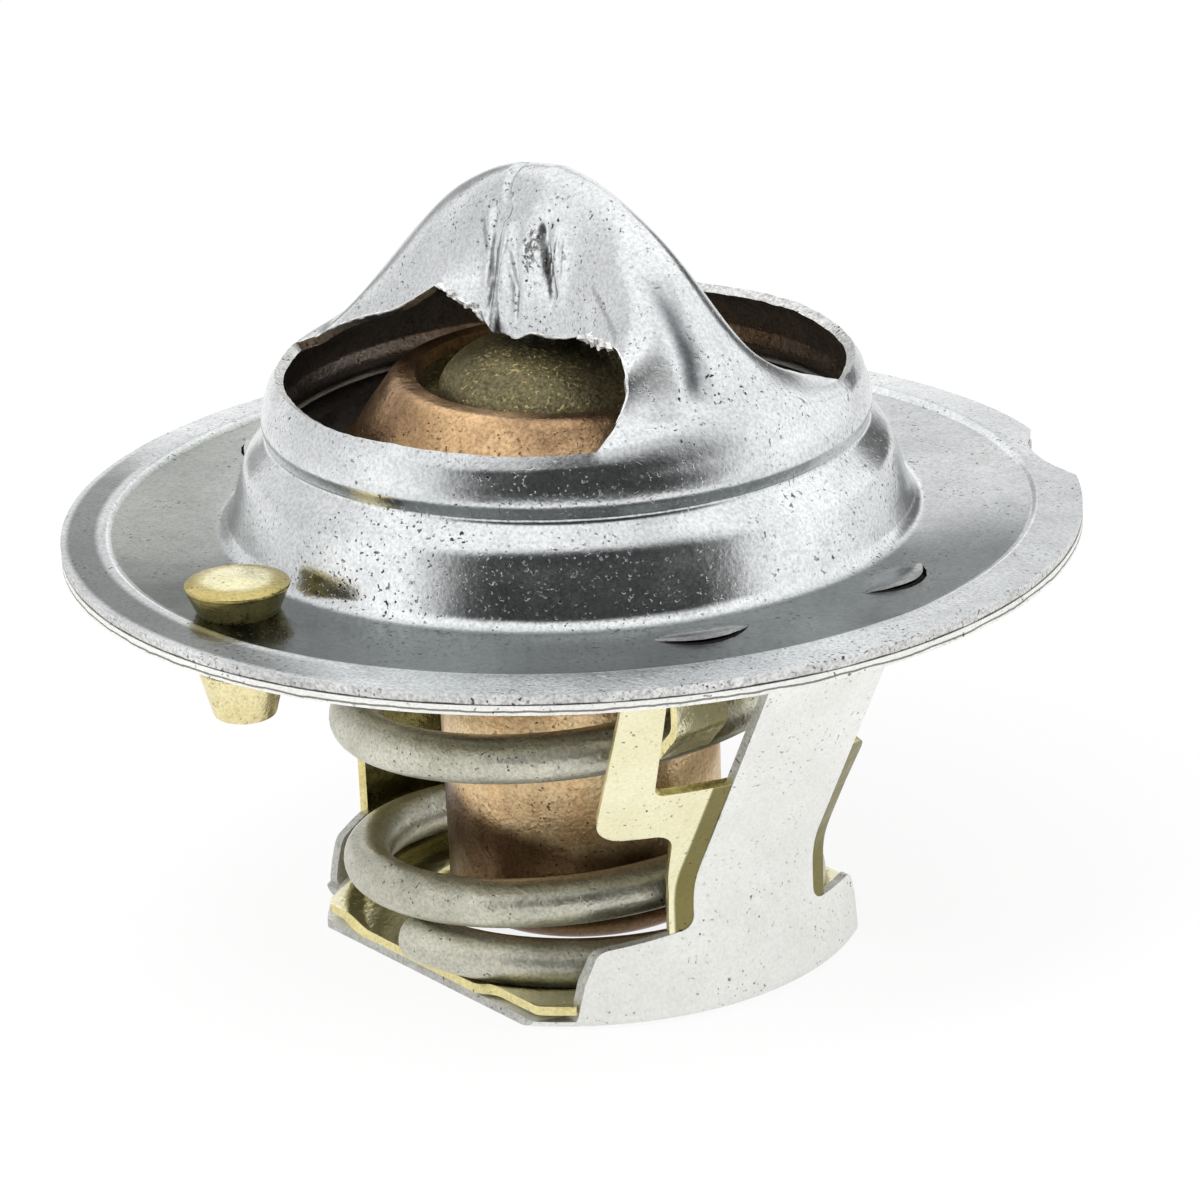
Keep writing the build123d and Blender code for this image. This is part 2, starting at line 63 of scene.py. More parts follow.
# ---- sizes, millimetres, as in the CAD
FLANGE_R = 27.0
PLATE_TOP = 1.05
SHEET = 0.55
NOTCH_ANGLE = radians(65)
NOTCH_FROM_AXIS = 33.1
NOTCH_R = 7.5
PIN_ANGLE = radians(-89.5)
PIN_FROM_AXIS = 21.6
PIN = (PIN_FROM_AXIS * cos(PIN_ANGLE), PIN_FROM_AXIS * sin(PIN_ANGLE))
PIN_HOLE_R = 2.1


# ---- mesh helpers
@contextmanager
def editing(obj):
    """The object's mesh as a bmesh, which is written back at the end."""
    bm = bmesh.new()
    bm.from_mesh(obj.data)
    yield bm
    bm.to_mesh(obj.data)
    bm.free()


def placed(name, mesh):
    """A new object of the scene, from a mesh, a camera or a lamp."""
    obj = bpy.data.objects.new(name, mesh)
    scene.collection.objects.link(obj)
    return obj


def from_bmesh(name, bm):
    """An object from a bmesh, which is freed."""
    mesh = bpy.data.meshes.new(name)
    bm.to_mesh(mesh)
    bm.free()
    return placed(name, mesh)


def from_points(name, verts, faces, *mats):
    """An object from points in millimetres."""
    mesh = bpy.data.meshes.new(name)
    mesh.from_pydata([(x * MM, y * MM, z * MM) for x, y, z in verts], [], faces)
    mesh.validate()
    mesh.update()
    for mat in mats:
        mesh.materials.append(mat)
    return placed(name, mesh)


def new_piece(name, mesh, body, *mats, soft=True):
    """A piece that rides on a body; mesh is its points in millimetres and its faces."""
    obj = from_points(name, *mesh, *mats)
    for p in obj.data.polygons:
        p.use_smooth = soft
    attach(obj, body)
    return obj


def bake(obj):
    """Applies the object's modifiers."""
    dg = bpy.context.evaluated_depsgraph_get()
    dg.update()
    mesh = bpy.data.meshes.new_from_object(obj.evaluated_get(dg))
    old = obj.data
    obj.modifiers.clear()
    obj.data = mesh
    bpy.data.meshes.remove(old)


def recalc(obj):
    """Joins points that coincide and turns all faces outwards."""
    with editing(obj) as bm:
        bmesh.ops.remove_doubles(bm, verts=bm.verts, dist=2e-6)
        bmesh.ops.recalc_face_normals(bm, faces=bm.faces)


def sharp_by_angle(obj, angle):
    """Marks edges sharper than the angle, so that smooth shading stops there."""
    limit = radians(angle)
    with editing(obj) as bm:
        for e in bm.edges:
            e.smooth = not (len(e.link_faces) == 2 and e.calc_face_angle(0) > limit)
        for f in bm.faces:
            f.smooth = True


def thicken(obj, sheet, back=0, quality=False):
    """Gives a surface its thickness, inwards; its edges get material 1, its inner face material back."""
    m = obj.modifiers.new("thickness", "SOLIDIFY")
    m.thickness = sheet * MM
    m.offset = -1
    m.use_even_offset = True
    m.use_quality_normals = quality
    m.material_offset = back
    m.material_offset_rim = 1


def soften(obj, width):
    """A small bevel on every edge sharper than 50 degrees."""
    m = obj.modifiers.new("edges", "BEVEL")
    m.width = width * MM
    m.segments = 2
    m.limit_method = "ANGLE"
    m.angle_limit = radians(50)


def rounded(points, radii, steps):
    """A polyline with its corners rounded; radii are for the inner points."""
    out = [points[0]]
    for i in range(1, len(points) - 1):
        p, a, b = Vector(points[i]), Vector(points[i - 1]), Vector(points[i + 1])
        r = radii[i - 1]
        u, v = (a - p).normalized(), (b - p).normalized()
        half = u.angle(v) / 2
        run = min(r / tan(half), 0.49 * (a - p).length, 0.49 * (b - p).length)
        r = run * tan(half)
        centre = p + (u + v).normalized() * (r / sin(half))
        s, e = p + u * run - centre, p + v * run - centre
        turn = s.angle_signed(e)
        n = max(2, int(steps * abs(turn) / (pi / 2)) + 1)
        for k in range(n + 1):
            c, q = cos(turn * k / n), sin(turn * k / n)
            out.append(tuple(centre + Vector((s.x * c + s.y * q, s.y * c - s.x * q))))
    out.append(points[-1])
    return out


def shift_line(points, amount):
    """The polyline moved square to itself, to its left."""
    runs = [(Vector(b) - Vector(a)).normalized() for a, b in zip(points, points[1:])]
    out = []
    for p, before, after in zip(points, runs[:1] + runs, runs + runs[-1:]):
        q = Vector(p)
        d = (before + after).normalized()
        stretch = 1 / max(0.5, sqrt(max(0.0, (1 + before.dot(after)) / 2)))
        out.append((q.x - d.y * amount * stretch, q.y + d.x * amount * stretch))
    return out


def lerp(a, b, w):
    return a + (b - a) * w


def dense(points, gap):
    """The polyline with more points, about a gap apart."""
    out = [points[0]]
    for a, b in zip(points, points[1:]):
        n = max(1, int(dist(a, b) / gap))
        out += [(lerp(a[0], b[0], k / n), lerp(a[1], b[1], k / n)) for k in range(1, n + 1)]
    return out


def strip(rows, around, closed=False):
    """Faces between rings of points that are numbered one after another."""
    faces = []
    for k in range(rows if closed else rows - 1):
        a, b = k * around, (k + 1) % rows * around
        faces += [[a + s, a + (s + 1) % around, b + (s + 1) % around, b + s] for s in range(around)]
    return faces


def tube(rows, around):
    """Faces of a strip with both of its ends closed."""
    last = (rows - 1) * around
    return strip(rows, around) + [list(range(around)), [last + s for s in reversed(range(around))]]


def lathe(name, profile, mat, body, segments, closed=True, centre=(0, 0)):
    """Turns a profile of (radius, height) about the vertical axis through centre."""
    turns = [2 * pi * k / segments for k in range(segments)]
    verts = [(centre[0] + r * cos(a), centre[1] + r * sin(a), z) for r, z in profile for a in turns]
    obj = new_piece(name, (verts, strip(len(profile), segments, closed)), body, mat)
    recalc(obj)
    return obj


def through(rows, share, level):
    """Smooth values at a share, from rows that begin with their own share; the columns from level on
    start without a slope."""
    last = len(rows) - 1
    i = 0
    while i < last - 1 and rows[i + 1][0] < share:
        i += 1
    gap = rows[i + 1][0] - rows[i][0]
    w = (share - rows[i][0]) / gap

    def slope(k, j):
        if k == 0 and j >= level:
            return 0.0
        a, b = rows[max(k - 1, 0)], rows[min(k + 1, last)]
        return (b[j] - a[j]) / (b[0] - a[0])

    return [rows[i][j] * (1 + 2 * w) * (1 - w) ** 2 + rows[i + 1][j] * (3 - 2 * w) * w ** 2
            + gap * (slope(i, j) * w * (1 - w) ** 2 - slope(i + 1, j) * (1 - w) * w ** 2)
            for j in range(1, len(rows[0]))]


def smooth(a, b, x):
    """0 at a, 1 at b, eased between them."""
    w = max(0.0, min(1.0, (x - a) / (b - a)))
    return w * w * (3 - 2 * w)


def hump(x, centre, width):
    return exp(-(((x - centre) / width) ** 2))


def cut(obj, *cutters):
    """Cuts solids out of a piece; a cutter with a material of its own leaves it on the cut faces."""
    for c in cutters:
        m = obj.modifiers.new("cut", "BOOLEAN")
        m.object, m.operation, m.solver = c, "DIFFERENCE", "EXACT"
        m.material_mode = "TRANSFER" if c.data.materials else "INDEX"
    bake(obj)
    for c in cutters:
        bpy.data.objects.remove(c)


def peg(centre, radius, low, high):
    """A plain round cutter, removed after use."""
    bm = bmesh.new()
    bmesh.ops.create_cone(bm, cap_ends=True, segments=96, radius1=radius * MM, radius2=radius * MM,
                          depth=(high - low) * MM)
    bmesh.ops.translate(bm, verts=bm.verts,
                        vec=(centre[0] * MM, centre[1] * MM, (low + high) / 2 * MM))
    return from_bmesh("peg", bm)


# ---- materials
class Output:
    """An output of a node; arithmetic with it adds Math nodes."""

    def __init__(self, tree, socket):
        self.tree = tree
        self.socket = socket

    def __add__(self, other):
        return self.tree.maths("ADD", self, other)

    def __sub__(self, other):
        return self.tree.maths("SUBTRACT", self, other)

    def __rsub__(self, other):
        return self.tree.maths("SUBTRACT", other, self)

    def __mul__(self, other):
        return self.tree.maths("MULTIPLY", self, other)

    def __truediv__(self, other):
        return self.tree.maths("DIVIDE", self, other)


class Tree:
    """A node tree, with a short way to add each kind of node that this script uses."""

    def __init__(self, owner):
        owner.use_nodes = True
        self.nodes = owner.node_tree.nodes
        self.links = owner.node_tree.links

    def feed(self, socket, value):
        """Sets an input to a number, a vector or a colour, or links an output to it."""
        if isinstance(value, Output):
            self.links.new(value.socket, socket)
        elif isinstance(value, tuple) and len(value) < len(socket.default_value):
            socket.default_value = (*value, 1)
        else:
            socket.default_value = value

    def add(self, kind, inputs, output=0, **settings):
        """Adds a node, feeds its inputs by number or name, and gives one of its outputs."""
        node = self.nodes.new("ShaderNode" + kind)
        for name, value in settings.items():
            setattr(node, name, value)
        for key, value in inputs.items():
            self.feed(node.inputs[key], value)
        return Output(self, node.outputs[output])

    def source(self, kind, output):
        """An output of the tree's one node of a kind that needs no inputs."""
        kind = "ShaderNode" + kind
        known = [n for n in self.nodes if n.bl_idname == kind]
        node = known[0] if known else self.nodes.new(kind)
        return Output(self, node.outputs[output])

    def maths(self, kind, *values):
        return self.add("Math", dict(enumerate(values)), operation=kind)

    def highest(self, values):
        out = values[0]
        for v in values[1:]:
            out = self.maths("MAXIMUM", out, v)
        return out

    def mix(self, share, a, b, blend="MIX"):
        """One colour over another; share 0 is all a."""
        return self.add("Mix", {0: share, 6: a, 7: b}, 2, data_type="RGBA", blend_type=blend)

    def noise(self, scale, detail, grain, stretch=(1, 1, 1)):
        """Noise in the object's own coordinates; scale is for metres."""
        at = self.add("Mapping", {"Vector": self.source("TexCoord", "Object"), "Scale": stretch})
        return self.add("TexNoise", {"Vector": at, "Scale": scale, "Detail": detail, "Roughness": grain})

    def ramp(self, share, *stops):
        """A colour, or a grey given as one number, between two stops of (position, tone)."""
        out = self.add("ValToRGB", {"Fac": share})
        for element, (position, tone) in zip(out.socket.node.color_ramp.elements, stops):
            element.position = position
            element.color = (*tone, 1) if isinstance(tone, tuple) else (tone, tone, tone, 1)
        return out

    def step(self, value, start, end, unit=MM):
        """0 before start, 1 past end, smooth between; start may be the larger one."""
        up = start < end
        return self.add("MapRange", {"Value": value, "From Min": min(start, end) * unit,
                                     "From Max": max(start, end) * unit, "To Min": 0 if up else 1,
                                     "To Max": 1 if up else 0}, interpolation_type="SMOOTHSTEP")

    def ragged(self, value, amount, scale):
        """The value moved up and down by noise; amount in millimetres."""
        return self.maths("MULTIPLY_ADD", self.noise(scale, 5, 0.6), 2 * amount * MM, value - amount * MM)

    def bumps(self, heights):
        """A normal from a chain of height maps, each with its depth in millimetres."""
        normal = None
        for height, depth in heights:
            inputs = {"Height": height, "Distance": depth * MM, "Strength": 1.0}
            if normal:
                inputs["Normal"] = normal
            normal = self.add("Bump", inputs)
        return normal


class Surface(Tree):
    """A material's tree, with the point's x, y, z and its distance r from the valve axis."""

    def __init__(self, mat):
        super().__init__(mat)
        split = self.add("SeparateXYZ", {0: self.source("TexCoord", "Object")}).socket.node
        self.x, self.y, self.z = [Output(self, socket) for socket in split.outputs]
        self.r = self.maths("SQRT", self.x * self.x + self.y * self.y)


def sheet_metal(name, base, dark, rough, metallic=1.0, clouds=(0.35, 0.65), grain=0.16, pits=0.5,
                pit_colour=(0.05, 0.05, 0.05), pit_scale=4200, drawn=None, uneven=0.02, wave=0.3):
    """Metal with cloudy tone, fine grain, small dark pits and, if drawn, streaks along one axis."""
    mat = bpy.data.materials.new(name)
    tree = Tree(mat)
    cloud = tree.noise(150, 6, 0.62)
    fine = tree.noise(5200, 2, 0.6)
    spots = tree.ramp(tree.noise(pit_scale, 1, 0.5), (0.69 - 0.05 * pits, 0), (0.75 - 0.05 * pits, 1))
    patches = tree.ramp(tree.noise(330, 4, 0.6), (0.4, 0), (0.62, 1))
    pit_mask = tree.mix(1.0, spots, patches, "MULTIPLY")
    tone = tree.ramp(cloud, (clouds[0], dark), (clouds[1], base))
    tone = tree.mix(1.0, tone, tree.ramp(fine, (0.32, 1 - 2 * grain), (0.62, 1)), "MULTIPLY")
    tone = tree.mix(pit_mask, tone, pit_colour)
    heights = [(cloud, wave), (fine, uneven), (pit_mask, -0.03)]
    if drawn:
        scale, stretch, low = drawn
        lines = tree.noise(scale, 5, 0.6, stretch)
        tone = tree.mix(1.0, tone, tree.ramp(lines, (0.35, low), (0.62, 1)), "MULTIPLY")
        heights.append((lines, 0.02))
    worn = tree.ramp(tree.noise(420, 4, 0.6), (0.3, rough * 0.75), (0.7, min(1, rough * 1.3)))
    bsdf = tree.nodes["Principled BSDF"].inputs
    for socket, plain, varied in (("Base Color", base, tone), ("Roughness", rough, worn)):
        tree.feed(bsdf[socket], plain)
        tree.feed(bsdf[socket], varied)
    tree.feed(bsdf["Metallic"], metallic)
    tree.feed(bsdf["Normal"], tree.bumps(heights))
    return mat


zinc = sheet_metal(
    "zinc_plated", (0.84, 0.86, 0.865), (0.66, 0.68, 0.69), 0.2, grain=0.13, pits=0.75, uneven=0.005,
    wave=0.08)
zinc_edge = sheet_metal("sheared_edge", (0.92, 0.92, 0.91), (0.68, 0.68, 0.67), 0.45, pits=1.2, grain=0.2)
# painted shade: a dark copy of the zinc for the sheet's inner face
zinc_inside_painted_shade = sheet_metal("zinc_inside_painted_shade", (0.3, 0.27, 0.24), (0.16, 0.145, 0.13), 0.38, grain=0.2, pits=0.6)
pale = sheet_metal(
    "pale_plating", (0.9, 0.9, 0.87), (0.82, 0.82, 0.79), 0.5, metallic=0.5, grain=0.05, pits=0.45,
    pit_colour=(0.2, 0.19, 0.17))
pale_edge = sheet_metal(
    "plating_edge", (0.7, 0.7, 0.66), (0.36, 0.36, 0.33), 0.45, metallic=0.6, grain=0.15, pits=0.8)
brass = sheet_metal(
    "sheet_brass", (0.96, 0.92, 0.66), (0.86, 0.81, 0.52), 0.24, pits=0.1, grain=0.04, uneven=0.004,
    pit_colour=(0.2, 0.17, 0.08))
brass_edge = sheet_metal(
    "brass_edge", (0.95, 0.86, 0.45), (0.7, 0.6, 0.25), 0.3, pits=0.3, grain=0.1,
    pit_colour=(0.2, 0.17, 0.08))
pin_brass = sheet_metal(
    "turned_brass", (1.0, 0.94, 0.6), (0.82, 0.7, 0.36), 0.3, pits=0.5, grain=0.12,
    pit_colour=(0.16, 0.12, 0.04))
copper = sheet_metal(
    "bare_copper", (0.92, 0.62, 0.34), (0.46, 0.29, 0.16), 0.34, grain=0.2, pits=0.7, uneven=0.008,
    pit_colour=(0.16, 0.09, 0.05), clouds=(0.38, 0.58))
cup_copper = sheet_metal(
    "cup_copper", (1.0, 0.8, 0.48), (0.9, 0.56, 0.28), 0.34, metallic=0.85, pits=0.7,
    pit_colour=(0.18, 0.1, 0.06), drawn=(700, (1, 1, 0.05), 0.8))
dome_brass = sheet_metal(
    "dull_brass", (0.32, 0.27, 0.13), (0.17, 0.15, 0.08), 0.5, pits=1.7, grain=0.3,
    pit_colour=(0.66, 0.54, 0.24), metallic=0.8, pit_scale=4600, uneven=0.05)
disc_steel = sheet_metal("valve_disc", (0.22, 0.2, 0.18), (0.13, 0.12, 0.11), 0.42)
wire = sheet_metal("spring_wire", (0.76, 0.75, 0.63), (0.52, 0.51, 0.42), 0.4, pits=0.35, grain=0.14)
dark_steel = sheet_metal("piston_steel", (0.4, 0.4, 0.4), (0.28, 0.28, 0.28), 0.25)
burr_metal = sheet_metal(
    "torn_edge", (0.93, 0.93, 0.92), (0.75, 0.75, 0.74), 0.42, metallic=0.6, pits=0.5, grain=0.1)
# near black that paints the shadow in the slits and under the tongues
slit_painted_shadow = sheet_metal("slit", (0.03, 0.03, 0.03), (0.02, 0.02, 0.02), 0.6, metallic=0.0, pits=0.1)


# ---- masks that tint the materials, most of them with painted shade and painted reflection
# Each takes a Surface and gives 1 where the tint shows in full. Lengths are in millimetres.
# patches of grime: middle along X, its height, lean, half width, half height, strength
SPECKLES = [
    (1.2, 16.1, 0.16, 1.0, 2.2, 1.0), (-4.6, 15.0, 0.0, 1.7, 1.1, 0.42), (7.2, 15.2, 1.9, 1.2, 1.6, 0.5),
    (-2.55, 17.3, 0.5, 0.35, 1.0, 0.8), (3.2, 16.3, 0.6, 0.22, 1.0, 0.7), (5.4, 13.6, 0, 1.6, 0.7, 0.3)]
# painted shade along the strap's grooves: two ends (distance along X, height), half width, strength
GROOVE_SHADE_LINES = [
    ((-2.0, 16.4), (-1.55, 14.2), 0.15, 0.8), ((-1.55, 14.2), (-1.7, 12.6), 0.15, 0.9),
    ((-0.2, 16.0), (0.74, 14.1), 0.13, 0.6), ((0.74, 14.1), (0.82, 12.6), 0.14, 0.8),
    ((1.85, 16.6), (2.86, 13.9), 0.15, 1.0), ((2.6, 17.1), (3.0, 14.2), 0.09, 0.7),
    ((2.95, 17.0), (3.4, 15.2), 0.09, 0.45), ((-3.2, 17.1), (-2.1, 15.5), 0.26, 0.5),
    ((5.8, 15.2), (9.6, 13.4), 0.24, 0.4), ((-0.35, 16.4), (-0.55, 13.6), 0.07, 0.35)]


def flange_front_painted_shade(at):
    """Painted shade and reflection: the flange's plain ring is darker on the side of the +X leg and round to
    the pin.
    """
    toward = at.ragged(at.x * 0.8 + at.y * -0.6, 3.0, 90)
    outer = at.ragged(at.r, 0.25, 500)
    return (at.step(at.r, 18.2, 18.9) * at.step(outer, 24.6, 24.2) * at.step(at.z, 1.9, 1.3)
            * at.step(toward, 0.0, 10.5))


def flange_left_painted_shade(at):
    """Painted shade: the plain ring is a little greyer beyond the pin."""
    toward = at.ragged(at.x * -0.61 + at.y * -0.79, 3.0, 90)
    return (at.step(at.r, 18.4, 18.9) * at.step(at.r, 24.6, 24.3) * at.step(at.z, 1.9, 1.3)
            * at.step(toward, 12.0, 21.0))


def rim_painted_shade(at):
    """Painted shade: the flange's raised edge is greyer on the side between the two legs, by the pin."""
    toward = at.ragged(at.x * -0.35 + at.y * -0.94, 2.0, 60)
    return at.step(at.r, 24.9, 25.3) * at.step(at.r, 26.85, 26.5) * at.step(toward, 17.0, 22.0)


def speckles(at):
    """Rough, dirty patches that the press left on the strap's front."""
    blobs = []
    for x, z, lean, wide, tall, strength in SPECKLES:
        dz = at.z - z * MM
        dx = (at.x - x * MM) + dz * lean
        u, v = dx / (wide * MM), dz / (tall * MM)
        blobs.append(at.maths("MAXIMUM", 1.0 - (u * u + v * v), 0.0) * strength)
    grain = at.noise(3400, 3, 0.65) - 0.85
    flecks = at.maths("MULTIPLY_ADD", at.highest(blobs), 0.42, grain)
    flecks = at.maths("MAXIMUM", flecks, 0.0) * 9.0
    return at.step(at.y, 0.3, -0.3) * at.maths("MINIMUM", flecks, 0.85)


def groove_painted_shade(at):
    """Painted shade along the grooves of the strap's front."""
    lines = []
    for (ax, az), (bx, bz), wide, strength in GROOVE_SHADE_LINES:
        length = hypot(bx - ax, bz - az)
        ux, uz = (bx - ax) / length, (bz - az) / length
        dx = at.x - ax * MM
        dz = at.z - az * MM
        run = dx * ux + dz * uz
        off = at.ragged(at.maths("ABSOLUTE", dx * uz - dz * ux), wide * 0.9, 1800)
        line = (at.step(off, wide, wide * 0.15) * at.step(run, -0.25, 0.35)
                * at.step(run, length + 0.25, length - 0.35))
        lines.append(line * strength)
    return at.step(at.y, -0.6, -1.2) * at.highest(lines)


def fold_shade(at):
    """The dark, soft streak down the strap's front, beside its swollen foot."""
    beyond = at.maths("MAXIMUM", at.x - 12.4 * MM, 0.0)
    line = at.maths("MULTIPLY_ADD", at.x, -0.09, -0.5 * MM)
    line = at.maths("MULTIPLY_ADD", beyond, -0.42, line)
    off = at.ragged(at.maths("ABSOLUTE", at.y - line), 0.25, 500)
    return at.step(off, 0.75, 0.05) * at.step(at.x, 7.8, 12.0) * at.step(at.z, 10.4, 11.6)


def cone_painted_shade(at):
    """Painted shade: the collar's cone is browner on one side."""
    return at.step(at.ragged(at.x * 0.61 + at.y * 0.79, 2.0, 120), -1.5, -10.5)


def pin_shade(at):
    """The flared side of the pin's head."""
    return at.step(at.z, 2.42, 2.36) * at.step(at.z, 0.6, 0.7)


def pin_rim_painted_shade(at):
    """Painted shade and reflection: the rounded edge of the pin's head is darker than its middle."""
    dx = at.x - PIN[0] * MM
    dy = at.y - PIN[1] * MM
    off = at.ragged(at.maths("SQRT", dx * dx + dy * dy), 0.35, 500)
    return at.step(at.z, 2.3, 2.36) * at.step(off, 1.5, 2.1)


def plates_gap_shade(at):
    """Painted shadow: a dark, broken line at the foot of the rim, where the two plates meet."""
    return at.step(at.r, 26.5, 26.75) * at.step(at.ragged(at.z, 0.12, 330), 0.62, 0.54)


def fracture(at):
    """The sheared lower half of the frame's rim."""
    low = at.ragged(at.z, 0.16, 420)
    return at.step(at.r, 26.7, 26.8) * at.step(low, 0.12, 0.16) * at.step(low, 0.27, 0.22)


def stem_painted_shade(at):
    """Painted shade: the latch's stems are darker below the wing."""
    side = at.ragged(at.maths("ABSOLUTE", at.y), 0.06, 200)
    return at.step(side, 5.3, 5.12) * at.step(at.z, -7.98, -8.3) * at.step(at.z, -21.6, -20.8)


def cup_shade(at):
    """Painted shade: the cup's lower end is darker, below a slanting line."""
    slant = at.maths("MULTIPLY_ADD", at.x, 0.25, at.z)
    return at.step(at.ragged(slant, 1.2, 160), -13.2, -14.6)


def tint(mat, mask, colour):
    """Multiplies a material's colour by another one where the mask is 1."""
    at = Surface(mat)
    target = at.nodes["Principled BSDF"].inputs["Base Color"]
    base = Output(at, target.links[0].from_socket)
    at.feed(target, at.mix(mask(at), base, at.mix(1.0, base, colour, "MULTIPLY")))


# speckles and fracture are the metals' own marks; every other mask here paints shade or reflection into the
# colour
TINTS = [
    (zinc, flange_front_painted_shade, (0.27, 0.285, 0.28)), (zinc, rim_painted_shade, (0.3, 0.31, 0.3)),
    (zinc, flange_left_painted_shade, (0.6, 0.61, 0.56)), (zinc, speckles, (0.12, 0.12, 0.11)),
    (zinc, groove_painted_shade, (0.16, 0.16, 0.15)), (zinc, fold_shade, (0.22, 0.23, 0.24)),
    (copper, cone_painted_shade, (0.6, 0.55, 0.5)), (pin_brass, pin_shade, (0.42, 0.38, 0.25)),
    (pin_brass, pin_rim_painted_shade, (0.62, 0.55, 0.34)), (zinc_edge, plates_gap_shade, (0.06, 0.06, 0.06)),
    (pale, fracture, (0.25, 0.24, 0.22)), (brass, stem_painted_shade, (0.24, 0.22, 0.12)),
    (cup_copper, cup_shade, (0.2, 0.16, 0.13))]
for metal, mask, colour in TINTS:
    tint(metal, mask, colour)


# ---- bridge flange
# the strap's ridge from the middle to a foot: distance along X, height, at even shares of the way
RIDGE_POINTS = [(0, 19.9), (3.2, 19.45), (6.2, 18.35), (8.8, 16.8), (11.4, 14.3), (13.6, 11.4),
                (15.2, 9.6), (16.05, 7.75)]
RIDGE = [(k / (len(RIDGE_POINTS) - 1), *point) for k, point in enumerate(RIDGE_POINTS)]
# edges of the strap by quarter, the signs of X and Y: share of the way to a foot, distance along X,
# half width, height
EDGES = {}
EDGES[(1, -1)] = [
    (0, 0, 3.4, 12.75), (0.05, 1.1, 3.45, 12.45), (0.11, 2.4, 3.3, 12.1), (0.18, 4.0, 3.2, 12.2),
    (0.24, 5.4, 3.3, 12.6), (0.31, 7.0, 3.65, 13.05), (0.37, 8.2, 3.9, 13.05), (0.43, 9.4, 4.1, 13.2),
    (0.49, 10.4, 4.4, 13.1), (0.57, 11.5, 4.9, 12.5), (0.64, 11.95, 5.2, 11.5), (0.71, 12.2, 5.8, 10.75),
    (0.78, 12.5, 6.6, 10.1)]
EDGES[(1, 1)] = [
    (0, 0, 3.4, 12.75), (0.14, 3.0, 3.7, 12.6), (0.28, 5.4, 4.0, 12.2), (0.42, 8.2, 4.1, 11.4),
    (0.52, 10.0, 4.1, 10.9), (0.6, 11.3, 4.3, 10.6), (0.68, 11.9, 5.3, 10.3), (0.77, 12.3, 6.6, 9.8)]
EDGES[(-1, -1)] = [
    (0, 0, 3.4, 12.75), (0.06, 1.5, 3.5, 12.2), (0.09, 2.2, 3.7, 12.35), (0.13, 2.9, 3.9, 12.75),
    (0.17, 3.9, 4.1, 13.05), (0.23, 5.1, 4.3, 13.3), (0.28, 6.2, 4.6, 12.6), (0.36, 8.0, 5.0, 11.5),
    (0.45, 9.9, 5.3, 10.8), (0.54, 11.3, 5.6, 10.25), (0.66, 12.3, 6.3, 9.7), (0.77, 12.7, 7.1, 9.3)]
EDGES[(-1, 1)] = [
    (0, 0, 3.4, 12.75), (0.14, 3.2, 3.5, 12.75), (0.28, 6.4, 4.0, 13.1), (0.43, 9.2, 4.5, 13.4),
    (0.57, 11.3, 5.1, 13.2), (0.66, 12.1, 5.7, 12.0), (0.76, 12.6, 6.8, 10.5)]
CROWN_R = 16.05  # the collar at the strap's feet
SHOULDER_R = 16.5  # the collar's section inside this radius is its crown
EDGE_END = (13.2, 7.6, 9.3)  # where the strap's lower edge meets the crown, for the burrs
FOOT_TOP = 7.75  # where a foot leaves the collar
FOOT_HALF = 8.5  # half the width of a foot
LIP = (7.9, 9.3)  # the crown bends in towards its lip between these heights
RIM_START = 24.0  # beyond this radius the plate follows the notched edge
CORNER_SHARE = 0.86  # from this share on, the strap's edge is the crown's edge
SADDLE = 2.3  # how blunt the ridge is
ARCH = radians(78)  # half the arc of the strap's top over the piston
ACROSS = 22  # cells of the strap, from its middle to an edge
WALLS = 76  # cells of the collar between the two feet
# pressed marks on the strap's front: path of (distance along X, height), half width, rise of the surface
STRAP_MARKS = [
    ([(-2.75, 19.9), (-2.6, 19.2), (-2.2, 18.5), (-1.2, 17.5)], 0.26, -0.24),
    ([(-3.1, 17.6), (-2.4, 16.9), (-1.9, 16.1), (-1.7, 14.5), (-1.8, 13.4)], 0.34, 0.12),
    ([(-2.4, 17.3), (-1.7, 15.7), (-1.52, 14.2), (-1.65, 12.6)], 0.26, -0.22),
    ([(-0.75, 17.0), (-0.55, 15.8), (-0.35, 14.5), (-0.15, 13.2), (0.0, 12.2)], 0.52, 0.36),
    ([(-0.1, 16.1), (0.45, 14.9), (0.74, 14.0), (0.82, 12.5)], 0.26, -0.16),
    ([(-0.45, 12.35), (0.0, 12.05), (0.5, 12.3)], 0.3, 0.2),
    ([(1.7, 17.3), (2.1, 16.4), (2.6, 15.2), (3.05, 14.3)], 0.24, -0.26),
    ([(2.35, 17.0), (2.8, 15.9), (3.3, 14.8)], 0.36, 0.14),
]
# valley between the swollen foot and the ridge, and a crease below it: path in space, half width, rise
STRAP_FOLDS = [
    ([(8.15, -1.25, 16.56), (9.86, -1.37, 15.38), (11.21, -1.49, 14.11), (12.54, -1.67, 12.34),
      (13.57, -2.18, 10.84)], 0.6, -0.13),
    ([(12.0, -5.6, 10.6), (13.2, -5.0, 10.2), (13.9, -3.9, 10.1)], 0.22, -0.1),
]


def collar_line():
    """Section of the flange and its collar, from the rim in and up to the crown's lip."""
    line = rounded([(27, 1.09), (24.65, 1.28), (24.3, 1.05), (18.2, 1.05), (17.1, 4.8), (15.85, 5.95),
                    (16.12, 6.85), (15.68, 8.6), (15.25, 9.3)], [0.4, 0.4, 0.9, 1.6, 0.4, 0.9, 1.1], steps=10)
    return dense(line, 0.35)


def height_at(line, r):
    for a, b in zip(line, line[1:]):
        if b[0] <= r <= a[0]:
            return lerp(a[1], b[1], (a[0] - r) / max(1e-9, a[0] - b[0]))
    return line[-1][1]


